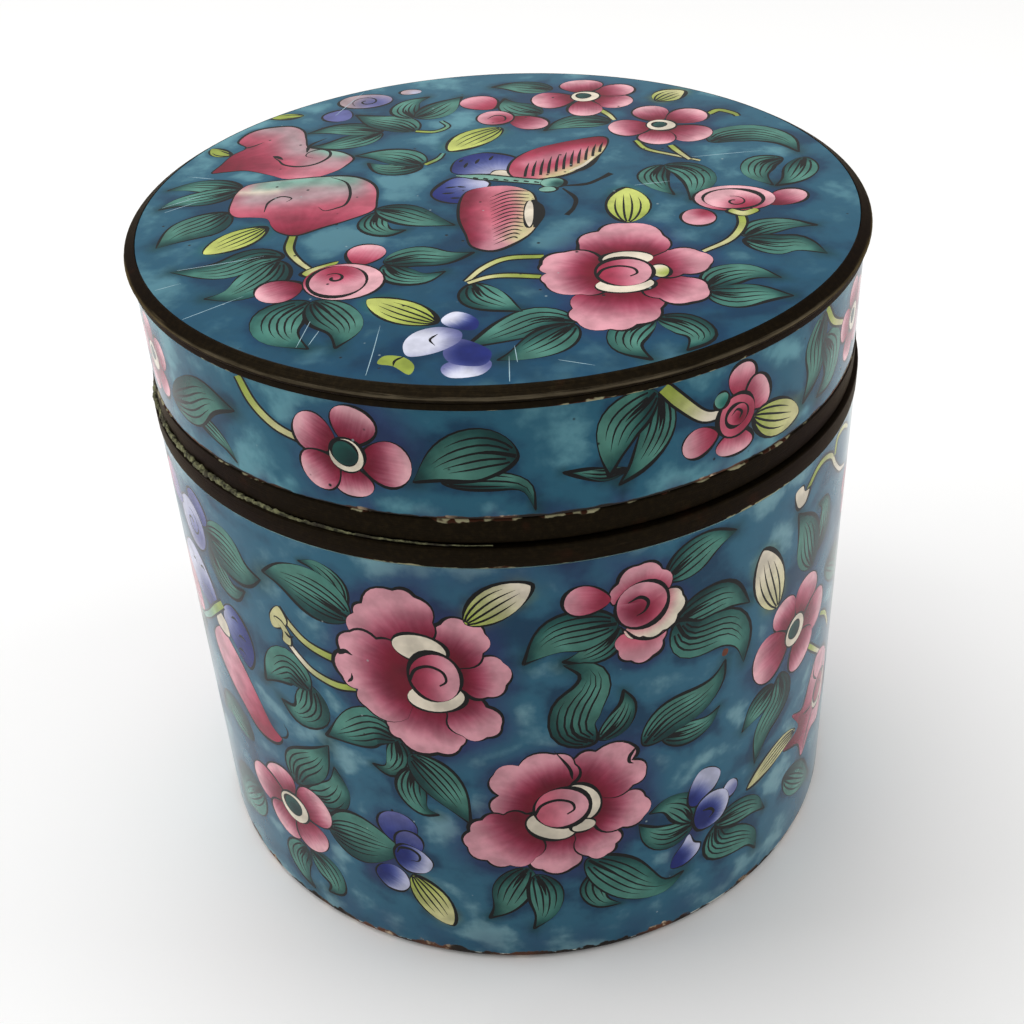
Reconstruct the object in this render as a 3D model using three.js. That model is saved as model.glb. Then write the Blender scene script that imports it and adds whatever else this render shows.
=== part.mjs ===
// A round lidded jar of painted enamel on copper, with dark metal bands round the mouth and round
// both edges of the lid. The lid lifts off: it fits over a collar that stands inside the mouth.
// Millimetres, +Z up. The origin is the centre of the underside, on the surface that the jar
// stands on. Every piece is turned about the Z axis from a profile of (radius, height) points.

import * as THREE from "three";

// Jar: a cylinder of enamelled copper with a flat floor, standing on a low foot rim
const jarRadius = 50; // outside of the wall
const jarWallHeight = 73.3; // underside to the top of the enamelled wall
const jarWall = 1.8; // copper with a coat of enamel on each face
const jarFloor = 2.0;
const footRimWidth = 3.2; // flat part that touches the table
const footRecess = 0.8; // how far the underside is set up inside the foot rim
const footRimSlope = 0.5; // width of the slope from the rim up to the underside
const baseEdgeRound = 1.2; // radius of the outer bottom corner
const insideCornerRound = 2.0; // radius where floor meets wall, and ceiling meets lid wall

// Mouth band: a flat metal band on the wall's top edge, with the collar in one piece with it
const mouthBandHeight = 3.0;
const mouthBandProud = 0.15; // how far it stands out from the wall
const collarRise = 7.5; // collar above the top of the band
const collarWall = 1.1;
const collarBevel = 0.5; // broken outer edge of the collar, which leads the lid on
const collarSkirt = 4.0; // part of the collar that reaches down inside the jar wall
const collarClearance = 0.35; // between the collar and the inside of the lid

// Lid: a shallow cap of enamelled copper
const lidWallInset = 0.6; // how far the lid's wall lies inside the line of the jar's wall
const lidWall = 1.8;
const lidTopThickness = 1.9;
const lidPaintedHeight = 14.85; // enamel between the lid's foot band and its top ring
const lidCrown = 0.5; // rise of the top from its edge to its centre
const lidSeatGap = 0.3; // the crust on the mouth band keeps the lid this far up

// Foot band: a flat metal band under the lid's wall
const lidBandHeight = 3.5;
const lidBandProud = 0.15;

// Top ring: a metal moulding round the lid's upper edge, with a strip, a bead and a sloping top
const topRingFace = 1.55; // width of the ring seen from above
const topRingStripHeight = 1.05;
const topRingStripProud = 0.4; // strip beyond the lid's painted wall
const topRingBeadRadius = 0.45;
const topRingSlopeRise = 0.65; // from the top of the bead to the edge of the enamel

const solderGap = 0.1; // between metal pieces and the shells that they are soldered to
const edgeBevel = 0.25; // broken edges of the flat bands
const aroundSegments = 84; // facets round the axis

// Heights and radii that follow from the sizes above
const jarBore = jarRadius - jarWall;
const mouthBandFoot = jarWallHeight + solderGap;
const mouthBandTop = mouthBandFoot + mouthBandHeight;
const lidRadius = jarRadius - lidWallInset;
const lidBore = lidRadius - lidWall;
const lidFoot = mouthBandTop + lidSeatGap;
const lidBandTop = lidFoot + lidBandHeight;
const lidShellFoot = lidBandTop + solderGap;
const topRingFoot = lidShellFoot + lidPaintedHeight + solderGap;
const stripRadius = lidRadius + topRingStripProud;
const beadCentre = {
  radius: stripRadius - topRingBeadRadius / 6,
  height: topRingFoot + topRingStripHeight + topRingBeadRadius,
};
const topRingRadius = beadCentre.radius + topRingBeadRadius;
const topRingTop = beadCentre.height + topRingBeadRadius + topRingSlopeRise;
const lidTopRadius = topRingRadius - topRingFace - solderGap; // edge of the enamelled top

const enamelBlue = new THREE.MeshStandardMaterial({
  color: new THREE.Color(0.15, 0.31, 0.42),
  roughness: 0.22,
  metalness: 0,
});
const darkMetal = new THREE.MeshStandardMaterial({
  color: new THREE.Color(0.1, 0.085, 0.065),
  roughness: 0.45,
  metalness: 0.8,
});

// Points along an arc in the profile plane, from one angle to another, in degrees from +radius.
function arc(centreRadius, centreHeight, radius, fromDegrees, toDegrees, steps) {
  const points = [];
  for (let i = 0; i <= steps; i += 1) {
    const angle = THREE.MathUtils.degToRad(fromDegrees + ((toDegrees - fromDegrees) * i) / steps);
    points.push([centreRadius + radius * Math.cos(angle), centreHeight + radius * Math.sin(angle)]);
  }
  return points;
}

// Turns a profile about Z. The profile runs with the solid on its left, so faces point out.
function turned(name, profile, material) {
  const points = profile.map(([radius, height]) => new THREE.Vector2(radius, height));
  const geometry = new THREE.LatheGeometry(points, aroundSegments);
  geometry.rotateX(Math.PI / 2);
  const mesh = new THREE.Mesh(geometry, material);
  mesh.name = name;
  return mesh;
}

// The rectangle of a flat band, its two outer edges broken by a small bevel.
function bandProfile(innerRadius, outerRadius, foot, top) {
  return [
    [innerRadius, foot],
    [outerRadius - edgeBevel, foot],
    [outerRadius, foot + edgeBevel],
    [outerRadius, top - edgeBevel],
    [outerRadius - edgeBevel, top],
    [innerRadius, top],
    [innerRadius, foot],
  ];
}

// Underside with its foot rim, rounded bottom edge, straight wall, then the inside down to the floor.
function jarBody() {
  const rimOuter = jarRadius - baseEdgeRound;
  const rimInner = rimOuter - footRimWidth;
  const floorTop = footRecess + jarFloor;
  return turned(
    "jar_body",
    [
      [0, footRecess],
      [rimInner - footRimSlope, footRecess],
      [rimInner, 0],
      ...arc(rimOuter, baseEdgeRound, baseEdgeRound, -90, 0, 4),
      [jarRadius, jarWallHeight],
      [jarBore, jarWallHeight],
      ...arc(jarBore - insideCornerRound, floorTop + insideCornerRound, insideCornerRound, 0, -90, 4),
      [0, floorTop],
    ],
    enamelBlue,
  );
}

// The band rests on the wall's top edge. Its collar reaches down inside the wall and up into the lid.
function mouthBand() {
  const bandRadius = jarRadius + mouthBandProud;
  const collarOuter = lidBore - collarClearance;
  const skirtOuter = jarBore - solderGap;
  const collarInner = Math.min(collarOuter, skirtOuter) - collarWall;
  const collarTop = mouthBandTop + collarRise;
  return turned(
    "mouth_band",
    [
      [collarInner, jarWallHeight - collarSkirt],
      [skirtOuter, jarWallHeight - collarSkirt],
      [skirtOuter, mouthBandFoot],
      [bandRadius - edgeBevel, mouthBandFoot],
      [bandRadius, mouthBandFoot + edgeBevel],
      [bandRadius, mouthBandTop - edgeBevel],
      [bandRadius - edgeBevel, mouthBandTop],
      [collarOuter, mouthBandTop],
      [collarOuter, collarTop - collarBevel],
      [collarOuter - collarBevel, collarTop],
      [collarInner, collarTop],
      [collarInner, jarWallHeight - collarSkirt],
    ],
    darkMetal,
  );
}

function lidFootBand() {
  return turned(
    "lid_foot_band",
    bandProfile(lidBore, lidRadius + lidBandProud, lidFoot, lidBandTop),
    darkMetal,
  );
}

// Cap of enamelled copper: wall, a step that the top ring sits on, and a slightly crowned top.
function lidShell() {
  const crownSteps = 5;
  const crown = [];
  for (let i = 0; i <= crownSteps; i += 1) {
    const share = 1 - i / crownSteps;
    crown.push([lidTopRadius * share, topRingTop + lidCrown * (1 - share * share)]);
  }
  const ceiling = topRingTop - lidTopThickness;
  return turned(
    "lid_shell",
    [
      [0, ceiling],
      ...arc(lidBore - insideCornerRound, ceiling - insideCornerRound, insideCornerRound, 90, 0, 4),
      [lidBore, lidShellFoot],
      [lidRadius, lidShellFoot],
      [lidRadius, topRingFoot - solderGap],
      [lidTopRadius, topRingFoot - solderGap],
      ...crown,
    ],
    enamelBlue,
  );
}

// Moulding round the lid's upper edge: strip below, bead above it, then a slope up to the enamel.
function lidTopRing() {
  const innerRadius = lidTopRadius + solderGap;
  return turned(
    "lid_top_ring",
    [
      [innerRadius, topRingFoot],
      [stripRadius, topRingFoot],
      [stripRadius, topRingFoot + topRingStripHeight],
      ...arc(beadCentre.radius, beadCentre.height, topRingBeadRadius, -60, 55, 5),
      [innerRadius, topRingTop],
      [innerRadius, topRingFoot],
    ],
    darkMetal,
  );
}

const jar = new THREE.Group();
jar.add(jarBody(), mouthBand(), lidFootBand(), lidShell(), lidTopRing());

export default jar;
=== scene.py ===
import math

import bmesh
import bpy
import numpy as np
from mathutils import Matrix
from mathutils.geometry import delaunay_2d_cdt


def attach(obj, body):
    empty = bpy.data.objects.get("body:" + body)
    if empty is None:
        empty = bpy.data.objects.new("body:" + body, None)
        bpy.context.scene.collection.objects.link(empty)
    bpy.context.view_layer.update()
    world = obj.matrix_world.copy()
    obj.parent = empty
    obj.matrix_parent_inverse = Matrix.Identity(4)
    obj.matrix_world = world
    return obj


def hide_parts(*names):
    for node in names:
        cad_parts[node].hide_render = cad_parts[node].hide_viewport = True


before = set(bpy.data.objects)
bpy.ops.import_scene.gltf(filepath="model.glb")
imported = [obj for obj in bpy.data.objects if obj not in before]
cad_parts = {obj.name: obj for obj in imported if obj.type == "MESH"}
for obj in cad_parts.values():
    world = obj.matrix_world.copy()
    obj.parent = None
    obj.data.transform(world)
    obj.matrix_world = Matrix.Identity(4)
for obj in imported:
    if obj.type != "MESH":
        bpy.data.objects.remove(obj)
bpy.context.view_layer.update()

MM = 0.001
scene = bpy.context.scene


def add_object(name, data):
    """Object in the scene that shows the given mesh, light or camera."""
    thing = bpy.data.objects.new(name, data)
    scene.collection.objects.link(thing)
    return thing


# Camera: a close, slightly tilted view from in front and above, as in the photograph. It stands
# 0.19 m before the jar's axis and 0.18 m up, and looks down by 36 degrees.
LENS_MM = 52.245
CAMERA_PLACE = (0.0, -0.18857, 0.18243)
CAMERA_PAN, CAMERA_TILT, CAMERA_ROLL = -0.0011, 0.6292, -0.0565


def camera_turn(pan, tilt, roll):
    """Axes of a camera that looks along +Y, turned by pan to the right, by tilt down, then by roll
    about its own line of sight."""
    ahead = np.array([math.sin(pan) * math.cos(tilt), math.cos(pan) * math.cos(tilt), -math.sin(tilt)])
    right = np.cross(ahead, [0, 0, 1])
    right /= np.linalg.norm(right)
    up = np.cross(right, ahead)
    c, s = math.cos(roll), math.sin(roll)
    return np.stack([c * right + s * up, c * up - s * right, -ahead], axis=1)


camera_data = bpy.data.cameras.new("photo_view")
camera_data.lens = LENS_MM
camera_data.sensor_width = 36.0
camera_data.clip_start = 0.01
camera = add_object("photo_view", camera_data)
turn = Matrix(camera_turn(CAMERA_PAN, CAMERA_TILT, CAMERA_ROLL).tolist()).to_4x4()
camera.matrix_world = Matrix.Translation(CAMERA_PLACE) @ turn
scene.camera = camera


# Jar body: a straight cylinder spun from copper sheet, with a floor and a low foot rim, coated with
# enamel on both faces. The flowers are painted on the fired blue ground and fired again, so the
# painting is part of one smooth skin. Chips along the foot show dark copper.
JAR_RADIUS = 50.0
JAR_WALL_TOP = 73.3
JAR_BORE = 48.2
JAR_FLOOR_TOP = 2.8
FOOT_SLOPE = (45.1, 45.6)  # radii of the slope from the underside down to the rim's flat part
FOOT_RECESS = 0.8
BASE_EDGE_ROUND = 1.2
INSIDE_CORNER_ROUND = 2.0
COLUMNS = 144  # divisions round the axis
WALL_ROW_MM = 2.4  # height of the rows along a painted wall's upright edges
PAINT_GRID_MM = 1.7  # free points of the painted sheet
SHEET_EDGE_GAP = 0.03  # how far brush marks stay from a wall sheet's edges
DISC_EDGE_GAP = 0.05  # and from the edge of the lid's top
INK_WIDTH = 0.45
HALO_CELL_MM, HALO_BLUR_MM, HALO_MARGIN_MM = 0.5, 1.1, 4  # blurred map of the painted area


def pigment(red, green, blue):
    """Linear colour of a pigment that is given as it looks, in 0 to 255."""
    c = np.array([red, green, blue]) / 255
    return np.where(c < 0.04045, c / 12.92, ((c + 0.055) / 1.055) ** 2.4)


INK = pigment(7, 7, 8)
LEAF_DEEP = pigment(8, 50, 50)
LEAF_MID = pigment(22, 85, 78)
LEAF_PALE = pigment(88, 138, 124)
CRIMSON = pigment(98, 6, 30)
ROSE = pigment(140, 35, 60)
PINK = pigment(178, 86, 104)
BLUSH = pigment(199, 141, 152)
SHELL_PINK = pigment(212, 160, 168)
CREAM = pigment(206, 196, 178)
STRAW = pigment(186, 182, 134)
BUD_GREEN = pigment(136, 150, 62)
LIME = pigment(182, 190, 102)
COBALT = pigment(20, 32, 98)
POWDER_BLUE = pigment(170, 172, 196)
FROST_BLUE = pigment(196, 198, 214)
LILAC = pigment(84, 88, 140)
INDIGO = pigment(36, 40, 84)
CELADON = pigment(112, 156, 142)
MAUVE_GREY = pigment(158, 138, 142)
RUST = pigment(96, 46, 24)
BARE_INSIDE = pigment(150, 190, 188)
BARE_UNDER = pigment(206, 210, 200)
JOINT_DARK = pigment(20, 15, 10)
GROUND_UNDER = pigment(44, 82, 100)


def rgba(colour):
    """Colour as a shader input takes it."""
    return [*[float(c) for c in colour], 1.0]


def tone(red, green, blue):
    """Pigment as a shader input takes it."""
    return rgba(pigment(red, green, blue))


def through(points, steps=6, closed=False):
    """Smooth path through a few points: each step between two of them is the Catmull-Rom blend of
    the four nearest."""
    p = np.asarray(points, float)
    if closed:
        p = np.vstack([p[-1:], p, p[:2]])
    else:
        p = np.vstack([2 * p[:1] - p[1:2], p, 2 * p[-1:] - p[-2:-1]])
    t = (np.arange(steps) / steps)[:, None, None]
    a, b, c, d = p[:-3], p[1:-2], p[2:-1], p[3:]
    path = 2 * b + (c - a) * t + (2 * a - 5 * b + 4 * c - d) * t**2 + (3 * b - a - 3 * c + d) * t**3
    path = 0.5 * path
    path = path.transpose(1, 0, 2).reshape(-1, 2)
    return path if closed else np.vstack([path, p[-2:-1]])


def length_to(path):
    """Length of a path from its start to each of its points."""
    return np.concatenate([[0], np.cumsum(np.hypot(*np.diff(np.asarray(path, float), axis=0).T))])


def spread(path, shares):
    """Points of a path at the given shares of its length."""
    run = length_to(path)
    run /= run[-1]
    return np.stack([np.interp(shares, run, path[:, 0]), np.interp(shares, run, path[:, 1])], 1)


def sideways(path):
    """Unit vectors to the left of a path's direction of travel."""
    step = np.gradient(path, axis=0)
    return np.stack([-step[:, 1], step[:, 0]], 1) / (np.hypot(*step.T)[:, None] + 1e-9)


def ribbon(path, width, start=0.25, end=0.12):
    """Outline of a brush stroke along a path: half the width to each side, swelling from the start's
    share of it to the whole, then thinning to the end's share."""
    share = np.linspace(0, 1, len(path))
    half = 0.5 * width * np.interp(share, [0, 0.25, 0.65, 1], [start, 1, 0.85, end])[:, None]
    side = sideways(path)
    return np.vstack([path + side * half, (path - side * half)[::-1]])


def blade_form(spine, half, peak, blunt, count=15, taper=0.0):
    """Spine, way across at each of its points, and outline of a leaf or petal. The spine's points are
    at cosine steps t, and the way across is half the width times sin(pi t^peak)^blunt, less a share
    t^3 of the taper. Its direction is averaged over a few steps, so that a sharp bend gives no kink."""
    t = 0.5 - 0.5 * np.cos(np.pi * np.linspace(0, 1, count))
    path = spread(through(spine, 8), t)
    width = half * np.abs(np.sin(np.pi * t**peak)) ** blunt * (1 - taper * t**3)
    width[[0, -1]] = 0
    side = sideways(path)
    bell = np.exp(-0.5 * (np.arange(-4, 5) * 15 / count / 1.6) ** 2)
    side = np.stack([np.convolve(np.pad(side[:, k], 4, "edge"), bell, "valid") for k in (0, 1)], 1)
    out = side / np.hypot(*side.T)[:, None] * width[:, None]
    return path, out, np.vstack([path + out, (path - out)[-2:0:-1]])


def grain_from(centre, reach, start=0.0):
    """Share of the way out from a point, and the angle round it."""
    centre = np.asarray(centre, float)

    def grain(p):
        gap = p - centre
        away = np.hypot(gap[:, 0], gap[:, 1]) / reach
        return (away - start) / (1 - start), 3 * np.arctan2(gap[:, 1], gap[:, 0])
    return grain


def oval_ring(centre, rx, ry, turned, wobble=0.0, phase=0.0):
    """Points round an oval that is turned about its centre, with two waves of wobble on the way."""
    a = np.linspace(0, 2 * np.pi, 28, endpoint=False)
    uneven = 1 + wobble * np.sin(2 * a + phase)
    x, y = rx * np.cos(a) * uneven, ry * np.sin(a) * uneven
    c, s = math.cos(turned), math.sin(turned)
    return np.stack([centre[0] + c * x - s * y, centre[1] + s * x + c * y], 1)


def grain_along(path, half):
    """Share of the way along a path, and the place across it."""
    side = sideways(path)

    def grain(p):
        gap = p[:, None] - path[None]
        near = (gap**2).sum(2).argmin(1)
        across = (gap[np.arange(len(p)), near] * side[near]).sum(1) / half
        return near / (len(path) - 1), 2 * across
    return grain


def on_side(side, points):
    """Points with their places along the wall times side, which is -1 on the left."""
    return [(side * along, up) for along, up in points]


class Painting:
    """Enamel colours on one flat sheet, in millimetres, in the order that the painter lays them.
    Each patch is an outline, its colours at the root and the tip, and its grain."""

    def __init__(self, seed):
        self.patches = []
        self.washes = []
        self.chance = np.random.default_rng(seed)

    def wash(self, points, reach, colour, strength, over=False):
        """Thin colour with a soft edge, full along a path and gone at its reach. It lies on the bare
        ground, or over the last patch."""
        path = through(points, 4) if len(points) > 1 else np.asarray(points, float)
        self.washes.append((path, reach, colour, strength, len(self.patches) - 1 if over else -1))

    def lay(self, outline, root, tip, grain):
        self.patches.append((np.asarray(outline, float), root, tip, grain))

    def ink(self, points, width=INK_WIDTH, start=0.25, end=0.12, steps=6, colour=INK):
        path = through(points, steps) if len(points) < 12 else np.asarray(points, float)
        self.lay(ribbon(path, width, start, end), colour, colour, grain_along(path, width))

    def contour(self, outline, width=INK_WIDTH):
        """Ink along a closed outline: two loops, apart by a width that swells and thins on the way."""
        n = len(outline)
        wave = np.arange(n) / n * 2 * np.pi
        first, second = self.chance.uniform(0, 6.28, 2)
        swell = 0.78 + 0.44 * np.sin(wave + first) + 0.34 * np.sin(3 * wave + second)
        half = 0.5 * width * np.maximum(swell, 0.12)
        step = np.roll(outline, -1, 0) - np.roll(outline, 1, 0)
        side = np.stack([-step[:, 1], step[:, 0]], 1) / (np.hypot(*step.T)[:, None] + 1e-9) * half[:, None]
        outer, inner = outline + side, outline - side
        loop = np.vstack([outer, outer[:1], inner[:1], inner[::-1]])
        self.lay(loop, INK, INK, grain_from(outline.mean(0), 10))

    def outlined(self, outline, root, tip, grain, width):
        """A patch with ink round it, unless the width is 0. Gives the outline back."""
        self.lay(outline, root, tip, grain)
        if width:
            self.contour(outline, width)
        return outline

    def shape(self, points, root, tip, grain, width=INK_WIDTH):
        return self.outlined(through(points, 5, closed=True), root, tip, grain, width)

    def oval(self, centre, rx, ry, root, tip, width=0.4, turned=0.0, deep=(0.4, -0.3)):
        """Slightly uneven oval. deep is where its root colour lies, in shares of rx and ry."""
        outline = oval_ring(centre, rx, ry, turned, 0.025, self.chance.uniform(0, 6))
        grain = grain_from(np.asarray(centre) + np.array(deep) * (rx, ry), 1.5 * max(rx, ry))
        return self.outlined(outline, root, tip, grain, width)

    def leaf(self, spine, half, veins=5):
        """Leaf, deep at both ends and paler in the middle, with veins that fan out from its foot. A
        dark wash trails from its tip on to the ground."""
        path, out, outline = blade_form(spine, 1.04 * half, 0.8, 0.72, 23, 0.6)
        lean = self.chance.uniform(0.2, 0.42) * self.chance.choice([-1, 1])
        light = self.chance.uniform(0.85, 1.1)
        along = grain_along(path, half)

        def grain(p):
            share, across = along(p)
            return 0.88 * np.sin(np.pi * np.clip(share, 0, 1)) ** 2.2 + lean * across, across
        self.wash([path[-6], path[-1]], 0.75 * half, LEAF_DEEP, 0.7)
        self.lay(outline, LEAF_DEEP * light, (0.5 * LEAF_MID + 0.4 * LEAF_PALE) * light, grain)
        self.wash([path[12] + 0.45 * np.sign(lean) * out[12]], 1.1 * half, LEAF_PALE, 0.55, True)
        first = self.chance.uniform(-0.68, -0.5)
        for v in np.linspace(first, first + 1.18, veins):
            reach = 0.80 - 0.25 * abs(v) + self.chance.uniform(-0.08, 0.06)
            vein = spread(path + out * v, np.linspace(0.06 + 0.05 * self.chance.uniform(), reach, 9))
            self.ink(vein, 0.31, 0.9, 0.08, 1)
        self.ink(spread(path + out * (first + 0.6), np.linspace(0.02, 0.40, 7)), 0.58, 0.9, 0.06, 1)
        self.contour(outline, 0.40)

    def leaves(self, *blades, side=1):
        for spine, half in blades:
            self.leaf(on_side(side, spine), half, max(3, int(round(half + 1.6))))

    def bud(self, spine, half, root=BUD_GREEN, tip=STRAW, veins=4):
        path, out, outline = blade_form(spine, half, 0.95, 0.62)
        self.wash(path[4:-4], 1.3 * half, BUD_GREEN, 0.45)
        self.lay(outline, root, tip, grain_along(path, half))
        for v in np.linspace(-0.55, 0.6, veins):
            vein = spread(path + out * v, np.linspace(0.03, 0.86 - 0.3 * abs(v), 8))
            self.ink(vein, 0.33, 0.8, 0.1, 1)
        self.contour(outline)

    def egg(self, spine, half, root, tip, width=0.38):
        """Petal with a round end."""
        path, _, outline = blade_form(spine, half, 1.3, 0.45)
        self.wash([path[7]], 2 * half, INDIGO, 0.6)
        along = grain_along(path, half)
        self.outlined(outline, root, tip, lambda p: (1.12 * along(p)[0] - 0.15, along(p)[1]), width)

    def fan(self, centre, cusps, root=CRIMSON, tip=BLUSH):
        """Scalloped petal: between two cusps the rim is an arch, about a quarter of the chord high."""
        c = np.asarray(cusps, float)
        chord = np.diff(c, axis=0)
        t = np.linspace(0, 1, 6, endpoint=False)[:, None, None]
        out = np.stack([-chord[:, 1], chord[:, 0]], 1)
        middle = c.mean(0) - centre
        out *= np.sign((out * middle).sum())
        rim = c[:-1] + chord * t + out * 0.24 * np.sin(np.pi * t) ** 0.8
        rim = np.vstack([rim.transpose(1, 0, 2).reshape(-1, 2), c[-1:]])
        reach = np.hypot(*(rim - centre).T).max()
        root_point = np.asarray(centre, float) + 0.15 * middle
        outline = np.vstack([root_point[None], rim])
        self.wash(c, 0.32 * reach, INDIGO, 0.62)
        self.lay(outline, root, tip, grain_from(centre, reach, 0.34))
        self.contour(outline, 0.40)

    def heart(self, centre, rx, ry, root=ROSE, tip=PINK, turned=0.0):
        """Rolled heart of a flower: deep at one side, pale at the other, and a curl inside."""
        c, s = math.cos(turned), math.sin(turned)
        turn = np.array([[c, s], [-s, c]])

        def grain(p):
            return ((p - centre) @ turn.T)[:, 0] / (2.2 * rx) + 0.45, p[:, 0] * 0
        self.outlined(oval_ring(centre, rx, ry, turned), root, tip, grain, 0.6)
        curl = [(-0.97, -0.25), (-0.72, 0.22), (-0.2, 0.42), (0.3, 0.24), (0.42, -0.12), (0.16, -0.34)]
        self.ink(np.array(curl) * (rx, ry) @ turn + centre, 0.5, 0.9, 0.5)

    def whorl(self, centre, radius, turns, start, width):
        a = np.linspace(0, turns * 2 * np.pi, 22)
        r = radius * (0.18 + 0.82 * a / a[-1])
        path = np.stack([centre[0] + r * np.cos(start + a), centre[1] + r * np.sin(start + a)], 1)
        self.ink(path, width, 0.8, 0.3)

    def stem(self, points, width=1.0, colour=STRAW):
        path = through(points, 6)
        self.lay(ribbon(path, width + 0.75, 0.9, 0.7), INK, INK, grain_along(path, width))
        self.lay(ribbon(path, width, 0.9, 0.6), BUD_GREEN, colour, grain_along(path, width))

    def five(self, centre, petals, eye=1.7, tip=SHELL_PINK, root=CRIMSON, ring=1.1):
        """Flower of five egg petals that nearly meet, round a green eye in a cream ring."""
        c = np.asarray(centre, float)
        for spine, half in petals:
            self.egg([c + 0.6 * (np.asarray(spine[0]) - c), *spine[1:]], 1.13 * half, root, tip, 0.34)
        self.oval(c, eye + ring, eye + ring, CREAM, CREAM, 0.36)
        self.oval(c + (-0.25, 0.25), eye, eye, 0.6 * LEAF_DEEP, 0.6 * LEAF_MID, 0.3)

    def open_five(self, centre, reach, turned=0.0, root=CRIMSON, tip=SHELL_PINK):
        """The same flower laid out evenly, for the sides that face away."""
        angle = turned + np.arange(5) * 2 * np.pi / 5
        way = np.stack([np.cos(angle), np.sin(angle)], 1)
        c = np.asarray(centre, float)
        petals = [([c + 0.24 * reach * w, c + reach * w], 0.34 * reach) for w in way]
        self.five(c, petals, 0.16 * reach, tip, root)

    def open_peony(self, centre, reach, turned=0.0, root=CRIMSON, tip=BLUSH):
        """Six scalloped petals in a ring, each of three arches, round a cream-edged heart."""
        c = np.asarray(centre, float)
        for k in range(6):
            angle = turned + k * np.pi / 3 + np.array([-0.55, -0.42, -0.13, 0.14, 0.42, 0.55])
            r = reach * np.array([0.62, 0.86, 0.99, 1.0, 0.87, 0.62])
            r *= 1 + 0.07 * math.sin(2.3 * k + turned)
            self.fan(c, c + np.stack([r * np.cos(angle), r * np.sin(angle)], 1), root, tip)
        self.oval(c, 0.42 * reach, 0.42 * reach, CREAM, CREAM)
        self.heart(c - 0.04 * reach, 0.33 * reach, 0.34 * reach, turned=turned)


def inside(points, outline):
    """Whether the outline winds round each point: crossings upward less crossings downward."""
    a, b = outline, np.roll(outline, -1, 0)
    x, y = points[:, :1], points[:, 1:]
    left = (b[:, 0] - a[:, 0]) * (y - a[:, 1]) - (x - a[:, 0]) * (b[:, 1] - a[:, 1])
    up = (a[:, 1] <= y) & (b[:, 1] > y) & (left > 0)
    down = (a[:, 1] > y) & (b[:, 1] <= y) & (left < 0)
    return up.sum(1) != down.sum(1)


def loop_edges(count):
    """Pairs of neighbours round a closed ring of points."""
    ring = np.arange(count)
    return np.stack([ring, (ring + 1) % count], 1)


def painted_sheet(painting, border, border_edges, keep_in, free):
    """The flat sheet cut into triangles along every brush mark. Each triangle takes the colours of
    the last patch laid over its middle, and zero alpha where the ground is bare. Gives points,
    triangles, and for each corner root colour, tip colour and grain, then the share of paint near
    each point. Colours are kept as cube roots, so that a mix of two stays as deep as enamel does."""
    outlines = [keep_in(outline) for outline, _, _, _ in painting.patches]
    edges = [border_edges]
    count = len(border)
    for outline in outlines:
        edges.append(count + loop_edges(len(outline)))
        count += len(outline)
    flat = np.vstack([border, *outlines, free])
    cut = delaunay_2d_cdt(flat.tolist(), np.vstack(edges).tolist(), [], 0, 1e-5, False)
    flat = np.array([v[:] for v in cut[0]])
    tri = np.array(cut[2])
    a, b, c = flat[tri[:, 0]], flat[tri[:, 1]], flat[tri[:, 2]]
    area = 0.5 * ((b[:, 0] - a[:, 0]) * (c[:, 1] - a[:, 1]) - (b[:, 1] - a[:, 1]) * (c[:, 0] - a[:, 0]))
    tri[area < 0] = tri[area < 0][:, ::-1]
    middle = (a + b + c) / 3
    owner = np.full(len(tri), -1)
    for k, outline in enumerate(outlines):
        low, high = outline.min(0), outline.max(0)
        near = np.flatnonzero(((middle >= low) & (middle <= high)).all(1))
        if len(near):
            owner[near[inside(middle[near], outline)]] = k
    root = np.tile([*np.cbrt(GROUND_UNDER), 0], (len(tri), 3, 1))
    tip = root.copy()
    grain = np.zeros((len(tri), 3, 2))
    for k, (_, root_colour, tip_colour, run) in enumerate(painting.patches):
        mine = np.flatnonzero(owner == k)
        if len(mine):
            along, across = run(flat[tri[mine]].reshape(-1, 2))
            root[mine] = [*np.cbrt(root_colour), 1]
            tip[mine] = [*np.cbrt(tip_colour), 1]
            grain[mine] = np.stack([along, across], 1).reshape(-1, 3, 2)
    corner, who = flat[tri].reshape(-1, 2), np.repeat(owner, 3)
    for path, reach, colour, strength, under in painting.washes:
        near = (corner > path.min(0) - reach).all(1) & (corner < path.max(0) + reach).all(1)
        near = np.flatnonzero(near & (who == under))
        gap = np.sqrt(((corner[near, None] - path[None]) ** 2).sum(2).min(1))
        share = np.clip(1 - gap / reach, 0, 1)
        share = (strength * share**2 * (3 - 2 * share))[:, None]
        for paint in (root.reshape(-1, 4), tip.reshape(-1, 4)):
            held = paint[near, 3:] * (1 - share)
            full = np.maximum(share + held, 1e-6)
            mixed = (share * np.cbrt(colour) + held * paint[near, :3]) / full
            paint[near, :3] = np.where(full > 1e-5, mixed, paint[near, :3])
            paint[near, 3:] = full
    painted = np.where(owner >= 0, np.abs(area), 0)
    return flat, tri, root, tip, grain, blurred_cover(flat, middle, painted)


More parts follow.
